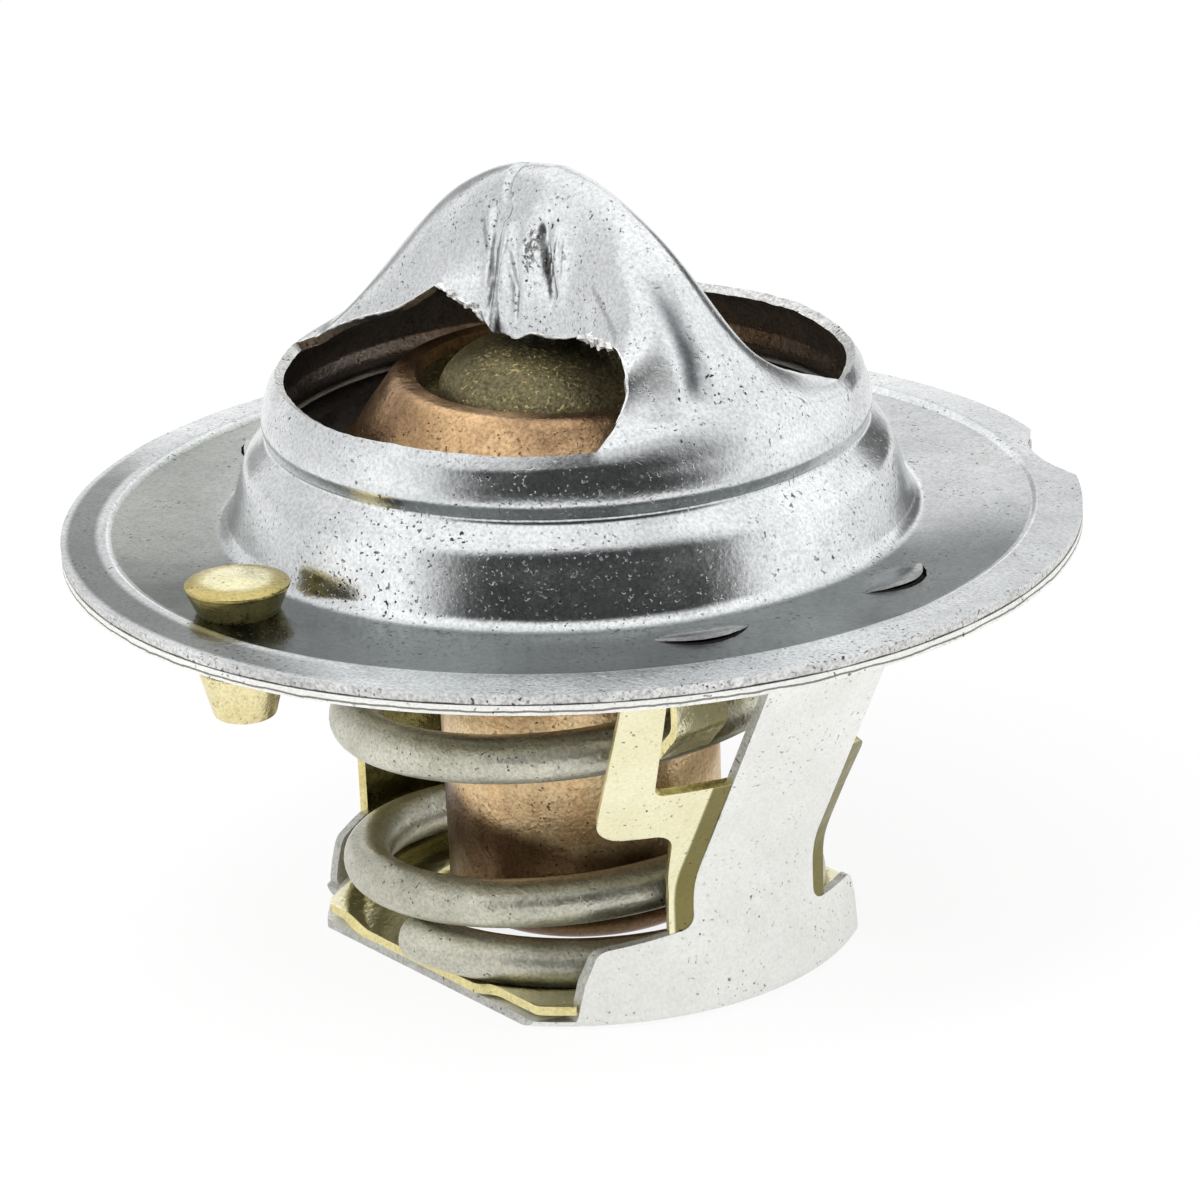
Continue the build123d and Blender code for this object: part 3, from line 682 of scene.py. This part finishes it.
def rim_radius(angle):
    """Radius of the flange's edge, smaller in the locating notch."""
    off = (angle - NOTCH_ANGLE + pi) % (2 * pi) - pi
    reach = NOTCH_R ** 2 - (NOTCH_FROM_AXIS * sin(off)) ** 2
    if abs(off) > pi / 2 or reach <= 0:
        return FLANGE_R
    return min(FLANGE_R, NOTCH_FROM_AXIS * cos(off) - sqrt(reach))


def lip_height(angle, z):
    """A height of the crown, changed near its lip, which is uneven round the collar."""
    deg = degrees(angle) % 360
    uneven = (-0.12 * hump(deg, 215, 14) + 0.12 * hump(deg, 35, 14) - 0.12 * hump(deg, 100, 45)
              + 0.05 * sin(angle * 9) - 0.03)
    return z + uneven * smooth(*LIP, z)


def strap_point(station, u, corner):
    """A point of the strap's outer face. The station is 0 in the middle, 1 and -1 at the feet; u is -1
    and 1 at the edges; corner gives the crown's edge line (x, y, z) for a share near a foot's end."""
    share, side = abs(station), (-1 if station < 0 else 1)
    edge = EDGES[side, -1 if u < 0 else 1]
    ridge_x, ridge_z = through(RIDGE, share, 1)
    swell = hump(ridge_x, 0, 1.2)
    if share >= CORNER_SHARE:
        edge_x, edge_y, edge_z = corner(share)
    else:
        edge_x, edge_y, edge_z = through(edge + [(CORNER_SHARE, *corner(CORNER_SHARE))], share, 2)
        edge_z -= 1.05 * swell
        edge_y += 0.35 * swell
    y = abs(u) * edge_y
    saddle = (hypot(SADDLE, y) - SADDLE) / (hypot(SADDLE, edge_y) - SADDLE)
    wall = (1 - cos(asin(y / CROWN_R))) / (1 - cos(asin(edge_y / CROWN_R)))
    arch = (1 - cos(asin(abs(u) * sin(ARCH)))) / (1 - cos(ARCH))
    flank = saddle + (wall - saddle) * share ** 4
    down = flank + (arch - flank) * hump(ridge_x, 0, 3.5)
    return side * lerp(ridge_x, edge_x, down), y * (-1 if u < 0 else 1), lerp(ridge_z, edge_z, down)


def flat_distance(path, p):
    """Distance from a point (distance along X, height) to a path of such points."""
    best = 1e9
    for (ax, az), (bx, bz) in zip(path, path[1:]):
        t = ((p[0] - ax) * (bx - ax) + (p[1] - az) * (bz - az)) / ((bx - ax) ** 2 + (bz - az) ** 2)
        t = max(0.0, min(1.0, t))
        best = min(best, hypot(p[0] - lerp(ax, bx, t), p[1] - lerp(az, bz, t)))
    return best


def distance(path, p):
    """Distance from a point to a path in space."""
    best = 1e9
    for a, b in zip(path, path[1:]):
        a, b = Vector(a), Vector(b)
        t = max(0.0, min(1.0, (p - a).dot(b - a) / (b - a).length_squared))
        best = min(best, (p - a.lerp(b, t)).length)
    return best


def pressed(marks, measure, p, up=0.0):
    """How far the marks move the surface at a point."""
    for path, width, height in marks:
        d = measure(path, p)
        if d < 3 * width:
            up += height * exp(-((d / width) ** 2))
    return up


def press_marks(obj):
    """Moves the sheet along its normals: marks of the press, small waves and rough sheared edges."""
    with editing(obj) as bm:
        bm.normal_update()
        moves = []
        for v in bm.verts:
            x, y, z = v.co / MM
            up = 0.0
            if z > 11.5 and y < 0.4 and abs(x) < 4.5:
                up = pressed(STRAP_MARKS, flat_distance, (x, z), up)
                up += 0.09 * hump(x, 1.2, 0.75) * hump(z, 16.6, 1.6) * noise_value(v.co * 2600)
            if z > 9.5 and y < 0 and x > 6:
                up = pressed(STRAP_FOLDS, distance, v.co / MM, up)
            up += 0.025 * noise_value(v.co * 170) + 0.012 * noise_value(v.co * 520 + Vector((7, 3, 1)))
            jag = 0.0
            if v.is_boundary and hypot(x, y) < 20:
                jag = 0.06 * noise_value(v.co * 1900)
            moves.append((v, v.co + v.normal * up * MM + Vector((0, 0, jag * MM))))
        for v, co in moves:
            v.co = co


def crown_corner(crown, angle):
    """A function that gives the crown's edge line at an angle, by the strap's share."""
    def corner(share):
        r, z = crown[round((1 - share) / (1 - CORNER_SHARE) * (len(crown) - 1))]
        return abs(r * cos(angle)), abs(r * sin(angle)), lip_height(angle, z)
    return corner


def strap_stations(count):
    """Stations from the +X foot to the -X foot, closest together over the piston."""
    half = [1 - (1 - CORNER_SHARE) * k / (count - 1) for k in range(count)]
    share = CORNER_SHARE
    while share > 0.025:
        share -= 0.016 if share > 0.3 else 0.005
        half.append(share)
    return half + [0] + [-s for s in reversed(half)]


def bridge_mesh():
    line = collar_line()
    on_crown = [i for i, (r, z) in enumerate(line) if r <= SHOULDER_R]
    foot_row = min(on_crown, key=lambda i: abs(line[i][1] - FOOT_TOP))
    line[foot_row] = (line[foot_row][0], FOOT_TOP)
    crown = line[foot_row:]
    feet = [asin(FOOT_HALF * k / ACROSS / CROWN_R) for k in range(-ACROSS, ACROSS + 1)]
    edge = feet[-1]
    # the collar's columns: angle, whether it is in a foot, and whether it is inside the foot's two ends
    columns = []
    for start in (0, pi):
        columns += [(start + a, True, abs(a) < edge) for a in feet]
        columns += [(lerp(start + edge, start + pi - edge, k / WALLS), False, False)
                    for k in range(1, WALLS)]
    verts, faces, index = [], [], {}

    def add(key, point):
        index[key] = len(verts)
        verts.append(point)

    for k, (a, in_foot, inside) in enumerate(columns):
        edge_r = rim_radius(a)
        for j, (r, z) in enumerate(line[:foot_row + 1] if inside else line):
            if r > RIM_START:
                r = RIM_START + (r - RIM_START) * (edge_r - RIM_START) / (FLANGE_R - RIM_START)
                z = height_at(line, r)
            add((k, j), (r * cos(a), r * sin(a), lip_height(a, z)))
    for k in range(len(columns)):
        m = (k + 1) % len(columns)
        rows = foot_row if columns[k][1] and columns[m][1] else len(line) - 1
        for j in range(rows):
            faces.append([index[q] for q in ((k, j), (m, j), (m, j + 1), (k, j + 1))])

    stations = strap_stations(len(crown))
    corners = {(1, u): crown_corner(crown, edge * u) for u in (1, -1)}
    corners.update({(-1, u): crown_corner(crown, pi - edge * u) for u in (1, -1)})
    for j, station in enumerate(stations):
        side = -1 if station < 0 else 1
        w = smooth(0.82, 1.0, abs(station))
        for i in range(-ACROSS, ACROSS + 1):
            u = i / ACROSS
            corner = corners[side, -1 if u < 0 else 1]
            x, y, z = strap_point(station, u, corner)
            a = feet[i + ACROSS]
            foot_x, foot_y = side * crown[0][0] * cos(a), crown[0][0] * sin(a)
            if abs(station) >= 0.9999:
                x, y, z = foot_x, foot_y, FOOT_TOP
            elif abs(i) < ACROSS:
                # towards its foot the strap's middle is led onto the collar
                end_x, end_y, end_z = strap_point(side, u, corner)
                x, y = x + (foot_x - end_x) * w, y + (foot_y - end_y) * w
            add(("s", j, i), (x, y, z))
    for j in range(len(stations) - 1):
        for i in range(-ACROSS, ACROSS):
            quad = [("s", j, i), ("s", j, i + 1), ("s", j + 1, i + 1), ("s", j + 1, i)]
            faces.append([index[q] for q in quad])
    return verts, faces


# tongues of the plate: middle angle, half their span, outer radius at the middle and the ends, inner radius
MOONS = {"a": (-19.5, 7.2, 21.6, 20.4, 19.4), "b": (14.5, 7.2, 21.9, 20.6, 19.5)}
MOON_CELLS = 28  # along a tongue and its slit
SLIT_DEPTH = 0.45
SLIT_WIDTH = 0.26


def slit_cutter(centre, half_span, edge_middle, edge_end):
    """A thin crescent that cuts the plate just outside a tongue; angles in degrees."""
    n = MOON_CELLS
    verts, faces = [], []
    for i in range(n + 1):
        w = -1 + 2 * i / n
        a = radians(centre + w * half_span)
        outer = lerp(edge_middle, edge_end, w * w)
        uneven = 1 + 0.3 * noise_value(Vector((a * 60, 0, 5)))
        for r in (outer - 0.03, outer + (0.02 + SLIT_WIDTH * (1 - w * w) ** 0.5 * uneven)):
            for z in (PLATE_TOP - SLIT_DEPTH, PLATE_TOP + 0.6):
                verts.append((r * cos(a), r * sin(a), z))
    for i in range(n):
        a, b = 4 * i, 4 * i + 4
        faces += [[a, b, b + 1, a + 1], [a + 2, a + 3, b + 3, b + 2], [a, a + 2, b + 2, b],
                  [a + 1, b + 1, b + 3, a + 3]]
    faces += [[0, 1, 3, 2], [4 * n, 4 * n + 2, 4 * n + 3, 4 * n + 1]]
    # the slit's walls stay near black on the plate after the cut: painted shadow
    obj = from_points("slit", verts, faces, slit_painted_shadow)
    recalc(obj)
    return obj


bridge = new_piece("bridge_sheet", bridge_mesh(), "housing", zinc, zinc_edge, zinc_inside_painted_shade)
with editing(bridge) as bm:
    bmesh.ops.remove_doubles(bm, verts=bm.verts, dist=5e-6)
press_marks(bridge)
thicken(bridge, SHEET, back=2, quality=True)
bake(bridge)
cut(bridge, peg(PIN, PIN_HOLE_R, 0.2, 2.0))
soften(bridge, 0.06)
bake(bridge)
# after the bevel, which would otherwise be held back by the slits' short edges
cut(bridge, *[slit_cutter(moon[0] + turned, *moon[1:4]) for moon in MOONS.values() for turned in (0, 180)])
recalc(bridge)
sharp_by_angle(bridge, 45)
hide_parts("bridge_flange")


def strap_edge(side, start, end, count):
    """Points along the strap's front lower edge, between two shares of the way to a foot."""
    def corner(share):
        return EDGE_END
    return [strap_point(side * lerp(start, end, k / count), -1, corner) for k in range(count + 1)]


def burr(name, path, size, offset, uneven):
    """Torn metal along a sheared edge: a thin strand of uneven thickness."""
    sides = 6
    verts = []
    last = len(path) - 1
    for k, p in enumerate(path):
        c = Vector(p) + Vector(offset)
        d = (Vector(path[min(k + 1, last)]) - Vector(path[max(k - 1, 0)])).normalized()
        across = d.cross(Vector((0, 0, 1))).normalized()
        up = across.cross(d)
        grow = sin(pi * k / last) ** 0.4
        for s in range(sides):
            a = 2 * pi * s / sides
            jag = 1 + uneven * 1.6 * noise_value(Vector((c.x * 2.6 + s, c.y * 2.6, c.z * 2.6 + 3 * s)))
            q = c + (across * cos(a) + up * sin(a)) * size * grow * max(0.15, jag)
            verts.append(tuple(q))
    obj = new_piece(name, (verts, tube(len(path), sides)), "housing", burr_metal, soft=False)
    recalc(obj)


for name, part, size, offset, uneven in (
        ("burr_left", (-1, 0.075, 0.235, 60), 0.2, (0, -0.06, -0.05), 0.8),
        ("burr_left_thin", (-1, 0.23, 0.76, 90), 0.075, (0, -0.02, -0.02), 0.5),
        ("burr_right", (1, 0.25, 0.44, 60), 0.23, (0, -0.05, -0.1), 0.9),
        ("burr_right_thin", (1, 0.43, 0.76, 50), 0.06, (0, -0.02, 0), 0.5),
        ("burr_tip", (1, 0.02, 0.24, 50), 0.07, (0, -0.03, -0.03), 0.6)):
    burr(name, strap_edge(*part), size, offset, uneven)


# ---- half-moon tongues of the flange
MOON_RISE = 0.42
MOON_LIP = 0.24


def half_moon(name, centre, half_span, edge_middle, edge_end, base):
    """A tongue of the plate, sheared along its outer side and pushed up; angles in degrees."""
    n, m = MOON_CELLS, 9
    verts = []

    def point(w, s, down):
        a = radians(centre + w * half_span)
        outer = lerp(edge_middle, edge_end, w * w)
        inner = lerp(base, outer - 0.05, w ** 4)
        crest = MOON_RISE * (1 - w * w) ** 0.7
        r = lerp(inner, outer, s)
        z = PLATE_TOP - 0.03 + crest * smooth(-0.15, 1.0, s) + 0.02 * noise_value(Vector((a * 40, r * 2, 1)))
        return r * cos(a), r * sin(a), z - down

    for i in range(n + 1):
        w = -1 + 2 * i / n
        thin = MOON_LIP * (1 - 0.6 * w * w)
        verts += [point(w, j / m, 0) for j in range(m + 1)]
        verts += [point(w, 1, thin), point(w, 0.75, thin + 0.02), point(w, 0, 0.3)]
    row = m + 4
    obj = new_piece(name, (verts, tube(n + 1, row)), "housing", zinc, burr_metal, slit_painted_shadow)
    # the lower band of the cut face, the underside and the ends get the painted shadow
    for f in obj.data.polygons:
        j = f.index % row
        f.material_index = 2 if j > m or f.index >= n * row else (1 if j == m else 0)
    sharp_by_angle(obj, 35)


for letter, (centre, *shape) in MOONS.items():
    for half, turned in (("1", 0), ("2", 180)):
        half_moon("moon_" + letter + half, centre + turned, *shape)


# ---- nodes of the CAD that are shown as they are
def dress(node, mat, bevel=0.06, edge=None):
    """Material for a node of the CAD; edge is a second one for the sheared faces of its sheet."""
    obj = bpy.data.objects[node]
    mesh = obj.data
    mesh.materials.clear()
    mesh.materials.append(mat)
    if edge:
        mesh.materials.append(edge)
    turn = obj.matrix_world.to_3x3()
    for p in mesh.polygons:
        sheared = edge and is_sheared(obj.matrix_world @ p.center / MM, (turn @ p.normal).normalized())
        p.material_index = 1 if sheared else 0
    if bevel:
        soften(obj, bevel)


def is_sheared(centre, normal):
    """True for a face square to the sheet: a side of a leg, the top of a band, a trimmed edge."""
    radius = hypot(centre.x, centre.y)
    tangent = (centre.x * normal.y - centre.y * normal.x) / radius
    leg_side = abs(tangent) > 0.45
    trimmed_end = centre.z < -20.5 and abs(normal.y) > 0.7
    band_top = centre.z < -1 and radius > 13.9 and normal.z > 0.7
    return leg_side or trimmed_end or band_top


dress("lower_frame", pale, edge=pale_edge)
dress("latch_ring", brass, edge=brass_edge)
dress("valve_plate", disc_steel)
dress("piston", dark_steel)
dress("rubber_boot", disc_steel, 0)
dress("wax_charge", disc_steel, 0)
dress("wax_cup", cup_copper, 0)


# ---- brass retainer
NEST_R = 14.55  # outer face of its wall
FLARE_LEVEL = -14.67  # above this level its wall flares out
FLARE_SLOPE = 0.52
FLARE_BLEND = 0.5
SEAT_TOP = -20.9
WALL_FOOT = -20.65  # where the wall turns into the seat
FOOT_BEND = 0.75
HOLE_R = 9.3
SEAT_R = 14.0
SEAT_LONG_R = 15.3  # the seat's reach at two opposite corners
SEAT_HALF = 11.4  # half its width between the trimmed sides
LONG_FROM = 9.85  # the long corners start this far from the X axis
SLANT_IN = 6.4  # the slant cut of the other corners starts this far from the X axis
SLANT_OUT = 8.4  # and ends this far along X, on the trimmed side
# outline of an arm: across it from its middle, and height
ARM = rounded(
    [(-5.3, -22.6), (-5.3, -15.0), (-6.2, -10.8), (-9.75, -10.8), (-11.5, -0.03), (-9.6, -0.03),
     (-7.95, -7.95), (4.8, -7.95), (4.6, -10.8), (4.6, -22.6)],
    [2.0, 1.1, 1.5, 0.2, 0.2, 0.6, 0.6, 2.0], steps=8)


def wall_point(across, level):
    """Point of the wall's outer face; below its foot the level runs on round the bend."""
    if level > WALL_FOOT:
        flare = log(1 + exp((level - FLARE_LEVEL) / FLARE_BLEND))
        r, z = NEST_R + FLARE_SLOPE * FLARE_BLEND * flare, level
    else:
        run = min(WALL_FOOT - level, FOOT_BEND * pi / 2)
        turn = run / FOOT_BEND
        r = NEST_R - FOOT_BEND * (1 - cos(turn)) - (WALL_FOOT - level - run)
        z = WALL_FOOT - FOOT_BEND * sin(turn)
    return sqrt(r * r - across * across), across, z


def gridded(outline, cell):
    """A flat mesh inside the outline, cut into cells."""
    bm = bmesh.new()
    bm.faces.new([bm.verts.new((u, v, 0)) for u, v in outline])
    for axis, normal in enumerate((Vector((1, 0, 0)), Vector((0, 1, 0)))):
        values = [p[axis] for p in outline]
        k = ceil(min(values) / cell)
        while k * cell < max(values):
            bmesh.ops.bisect_plane(bm, geom=bm.verts[:] + bm.edges[:] + bm.faces[:],
                                   plane_co=normal * (k * cell), plane_no=normal, dist=1e-4)
            k += 1
    return bm


def seat_reach(angle):
    """How far the seat reaches from the axis at an angle."""
    c, s = cos(angle), sin(angle)
    reach = SEAT_LONG_R if abs(s) * SEAT_LONG_R > LONG_FROM and c * s < 0 else SEAT_R
    reach = min(reach, SEAT_HALF / max(abs(s), 1e-6))
    if c * s > 0 and abs(s) * reach > SLANT_IN:
        # the line from (SLANT_OUT, SEAT_HALF) to (SEAT_HALF, SLANT_IN), in the first quarter
        rise, run = SEAT_HALF - SLANT_IN, SEAT_HALF - SLANT_OUT
        slant = (SLANT_OUT * rise + SEAT_HALF * run) / (rise * abs(c) + run * abs(s))
        reach = min(reach, max(slant, SLANT_IN / abs(s)))
    return reach


def retainer_mesh():
    verts, faces = [], []
    for side in (1, -1):
        bm = gridded(ARM, 0.5)
        start = len(verts)
        bm.verts.index_update()
        for v in bm.verts:
            x, y, z = wall_point(v.co.x, v.co.y)
            verts.append((side * x, side * y, z))
        faces += [[start + v.index for v in f.verts] for f in bm.faces]
        bm.free()
    n, m, start = 360, 18, len(verts)
    for k in range(n):
        a = 2 * pi * (k + 0.5) / n
        for j in range(m + 1):
            r = lerp(HOLE_R, seat_reach(a), j / m)
            z = SEAT_TOP - 0.5 * (1 - smooth(12.2, 13.2, r))
            verts.append((r * cos(a), r * sin(a), z))
    for k in range(n):
        a, b = start + k * (m + 1), start + (k + 1) % n * (m + 1)
        faces += [[a + j, a + j + 1, b + j + 1, b + j] for j in range(m)]
    return verts, faces


latch = new_piece("latch_retainer", retainer_mesh(), "housing", brass, brass_edge)
thicken(latch, 0.5)
bake(latch)
soften(latch, 0.05)
bake(latch)
sharp_by_angle(latch, 40)
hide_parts("retainer")


# ---- wax element
CONE_FOOT = 4.527
CONE_TOP = CONE_FOOT + 4.5
CONE_SHEET = 0.7
cone_line = rounded(
    [(12, CONE_FOOT), (12, CONE_FOOT + 0.5), (9.1, CONE_TOP), (7.9, CONE_TOP)], [0.9, 0.9], steps=12)
cone_inner = list(reversed(shift_line(cone_line, CONE_SHEET)))
cone = lathe("element_cone", dense(cone_line, 0.4) + dense(cone_inner, 0.4), copper, "valve", 160)
sharp_by_angle(cone, 50)
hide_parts("element_collar")

DOME = 7.927  # level where the dome starts
DOME_R = 6.7
DOME_RISE = 3.1
BORE_R = 1.65
dome_line = [
    (BORE_R, 6.03), (9.2, 6.03), (9.2, 7.2), (8.4, 7.8), (8.4, 8.32), (7.9, 8.32), (7.9, 7.35),
    (6.75, 7.35), (DOME_R, DOME)]
dome_line += [(DOME_R * cos(radians(t)), DOME + DOME_RISE * sin(radians(t)))
              for t in range(4, 76, 4)]
dome_line += [(BORE_R, DOME + 3.0), (BORE_R, DOME + 2.4)]
dome = lathe("guide_cap", dense(dome_line, 0.4), dome_brass, "valve", 128)
sharp_by_angle(dome, 40)
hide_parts("guide_dome")


# ---- spring
COIL_TURNS = 4.1
COIL_FLAT = 0.68  # turns that lie flat at each end
COIL_RADII = (11.5, 12.95)
COIL_LEVELS = (-20.1, 2.527)
COIL_START = -90.5
WIRE_R = 1.3
WIRE_ENDS = ((0, 1.12), (0.001, 1.24), (0.003, WIRE_R))  # turns from an end, radius of the ground end


def spring_centre(turns):
    """Centre of the wire after so many turns from the seat."""
    def rise(t):
        return max(0.0, min(1.0, (t - COIL_FLAT) / (COIL_TURNS - 2 * COIL_FLAT)))
    eased = sum(rise(turns + k / 12) for k in (-1, 0, 1)) / 3
    radius = lerp(*COIL_RADII, turns / COIL_TURNS)
    a = radians(COIL_START + 360 * turns)
    return Vector((radius * cos(a), radius * sin(a), lerp(*COIL_LEVELS, eased)))


def coil_mesh(sides=28, per_turn=96):
    n = int(COIL_TURNS * per_turn)
    last = n / per_turn
    rings = [*WIRE_ENDS, *[(k / per_turn, WIRE_R) for k in range(1, n)]]
    rings += [(last - t, radius) for t, radius in reversed(WIRE_ENDS)]
    verts = []
    for t, radius in rings:
        c = spring_centre(t)
        d = (spring_centre(min(t + 0.01, COIL_TURNS)) - spring_centre(max(t - 0.01, 0))).normalized()
        out = Vector((c.x, c.y, 0)).normalized()
        out = (out - d * out.dot(d)).normalized()
        up = d.cross(out)
        for s in range(sides):
            a = 2 * pi * s / sides
            verts.append(tuple(c + (out * cos(a) + up * sin(a)) * radius))
    return verts, tube(len(rings), sides)


coil = new_piece("spring_coil", coil_mesh(), "housing", wire)
recalc(coil)
sharp_by_angle(coil, 50)
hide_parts("main_spring")
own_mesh(coil)


# ---- jiggle pin
pin_line = rounded(
    [(0, 2.88), (2.2, 2.73), (2.7, 2.55), (2.7, 2.4), (2.08, 0.98), (1.1, 0.98), (1.1, -2.0), (2.3, -2.0),
     (1.6, -4.6), (0, -4.9)], [0.6, 0.1, 0.08, 0.05, 0.05, 0.05, 0.12, 0.3], steps=5)
pin = lathe("pin_turned", dense(pin_line, 0.3), pin_brass, "pin", 72, closed=False, centre=PIN)
sharp_by_angle(pin, 40)
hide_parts("jiggle_pin")


# ---- floor, light, camera
VIEW_AZ, VIEW_EL, VIEW_ROLL = radians(52.5), radians(20.469), radians(2.428)
RIGHT = Vector((cos(VIEW_AZ), sin(VIEW_AZ), 0))
UP = Vector((-sin(VIEW_AZ) * sin(VIEW_EL), cos(VIEW_AZ) * sin(VIEW_EL), cos(VIEW_EL)))
FORWARD = Vector((-sin(VIEW_AZ) * cos(VIEW_EL), cos(VIEW_AZ) * cos(VIEW_EL), -sin(VIEW_EL)))
CAMERA_FROM = RIGHT * 1.324 - UP * 3.93 - FORWARD * 300
FLOOR_WHITE = (("Is Camera Ray", 0.88), ("Is Glossy Ray", 0.8), ("Is Transmission Ray", 0.8))
TENT = 1.25  # brightness of the tent that metal sees
TENT_DARKEST = 0.05
# its darker parts: azimuth and elevation in degrees, how flat, cosines of the soft edge, change
OPENINGS = [
    (6, 9, 2.0, (0.5, 0.8), -1.21), (180, 20, 2.6, (0.965, 0.99), -0.45),
    (48, 58, 0.35, (0.945, 0.98), -0.35), (148, 2, 0.6, (0.95, 0.985), -1.1),
    (-158, 0, 0.6, (0.96, 0.99), -0.85), (-112, 20, 1.0, (0.8, 0.97), -0.38)]
ROOM = (0.62, 0.62, 0.62)
WHITE = (1.0, 1.0, 1.0)


def towards(azimuth, elevation, tall=1):
    """Direction in degrees; azimuth 0 is the camera's side, positive to its right."""
    a, e = VIEW_AZ + radians(azimuth), radians(elevation)
    return Vector((sin(a) * cos(e), -cos(a) * cos(e), sin(e) * tall))


def floor_material():
    """Near white to the camera and in reflections, plain for the light that falls on it."""
    mat = bpy.data.materials.new("studio_floor")
    tree = Tree(mat)
    bsdf = tree.nodes["Principled BSDF"]
    tree.feed(bsdf.inputs["Base Color"], (0.93, 0.93, 0.93))
    tree.feed(bsdf.inputs["Roughness"], 0.9)
    camera, gloss, clear = [tree.source("LightPath", ray) * share for ray, share in FLOOR_WHITE]
    plain = Output(tree, bsdf.outputs[0])
    glow = tree.add("Emission", {})
    seen = tree.add("MixShader", {0: camera + gloss + clear, 1: plain, 2: glow})
    tree.feed(tree.nodes["Material Output"].inputs["Surface"], seen)
    return mat


def add_floor():
    bm = bmesh.new()
    bmesh.ops.create_grid(bm, x_segments=8, y_segments=8, size=1.5)
    obj = from_bmesh("floor", bm)
    obj.location.z = cad_low[2] - 0.0001
    obj.data.materials.append(floor_material())


def facing(tree, azimuth, elevation, tall, edge):
    """1 where the sky lies towards a direction, 0 away from it; edge is the pair of cosines between."""
    sky = tree.source("TexCoord", "Generated")
    scaled = tree.add("VectorMath", {0: sky, 1: (1, 1, tall)}, operation="MULTIPLY")
    unit = tree.add("VectorMath", {0: scaled}, operation="NORMALIZE")
    aim = towards(azimuth, elevation, tall).normalized()
    cosine = tree.add("VectorMath", {0: unit, 1: aim}, "Value", operation="DOT_PRODUCT")
    return tree.step(cosine, *edge, unit=1)


def add_world():
    """White to the camera; metal sees a bright tent with a dark opening at its front."""
    world = bpy.data.worlds.new("studio")
    scene.world = world
    tree = Tree(world)
    tent = TENT
    for azimuth, elevation, tall, edge, change in OPENINGS:
        tent = tree.maths("MULTIPLY_ADD", facing(tree, azimuth, elevation, tall, edge), change, tent)
    tent = tree.maths("MAXIMUM", tent, TENT_DARKEST)
    seen = tree.mix(tree.source("LightPath", "Is Glossy Ray"), ROOM, tent)
    seen = tree.mix(tree.source("LightPath", "Is Camera Ray"), seen, WHITE)
    seen = tree.mix(tree.source("LightPath", "Is Transmission Ray"), seen, WHITE)
    background = tree.nodes["Background"].inputs
    tree.feed(background["Color"], seen)
    tree.feed(background["Strength"], 1.0)


def add_camera():
    data = bpy.data.cameras.new("camera")
    data.lens = 169.744
    data.sensor_width = 36
    data.sensor_fit = "HORIZONTAL"
    data.clip_start = 0.01
    data.clip_end = 10
    cam = placed("camera", data)
    across = RIGHT * cos(VIEW_ROLL) - UP * sin(VIEW_ROLL)
    upward = RIGHT * sin(VIEW_ROLL) + UP * cos(VIEW_ROLL)
    place = CAMERA_FROM * MM
    rows = [(across[i], upward[i], -FORWARD[i], place[i]) for i in range(3)]
    cam.matrix_world = Matrix(rows + [(0, 0, 0, 1)])
    scene.camera = cam


def add_lamp(name, azimuth, elevation, distance, size, energy):
    """A square soft box that faces the object."""
    data = bpy.data.lights.new(name, "AREA")
    data.shape = "SQUARE"
    data.size = size
    data.energy = energy
    lamp = placed(name, data)
    d = towards(azimuth, elevation)
    lamp.location = d * distance
    lamp.rotation_euler = (-d).to_track_quat("-Z", "Y").to_euler()
    lamp.visible_glossy = False


add_floor()
add_world()
add_camera()
add_lamp("key", -50, 50, 0.6, 0.35, 2.2)
add_lamp("fill", 60, 35, 0.7, 0.35, 1.2)
add_lamp("top", 0, 88, 0.6, 0.4, 1.2)
scene.view_settings.view_transform = "Standard"
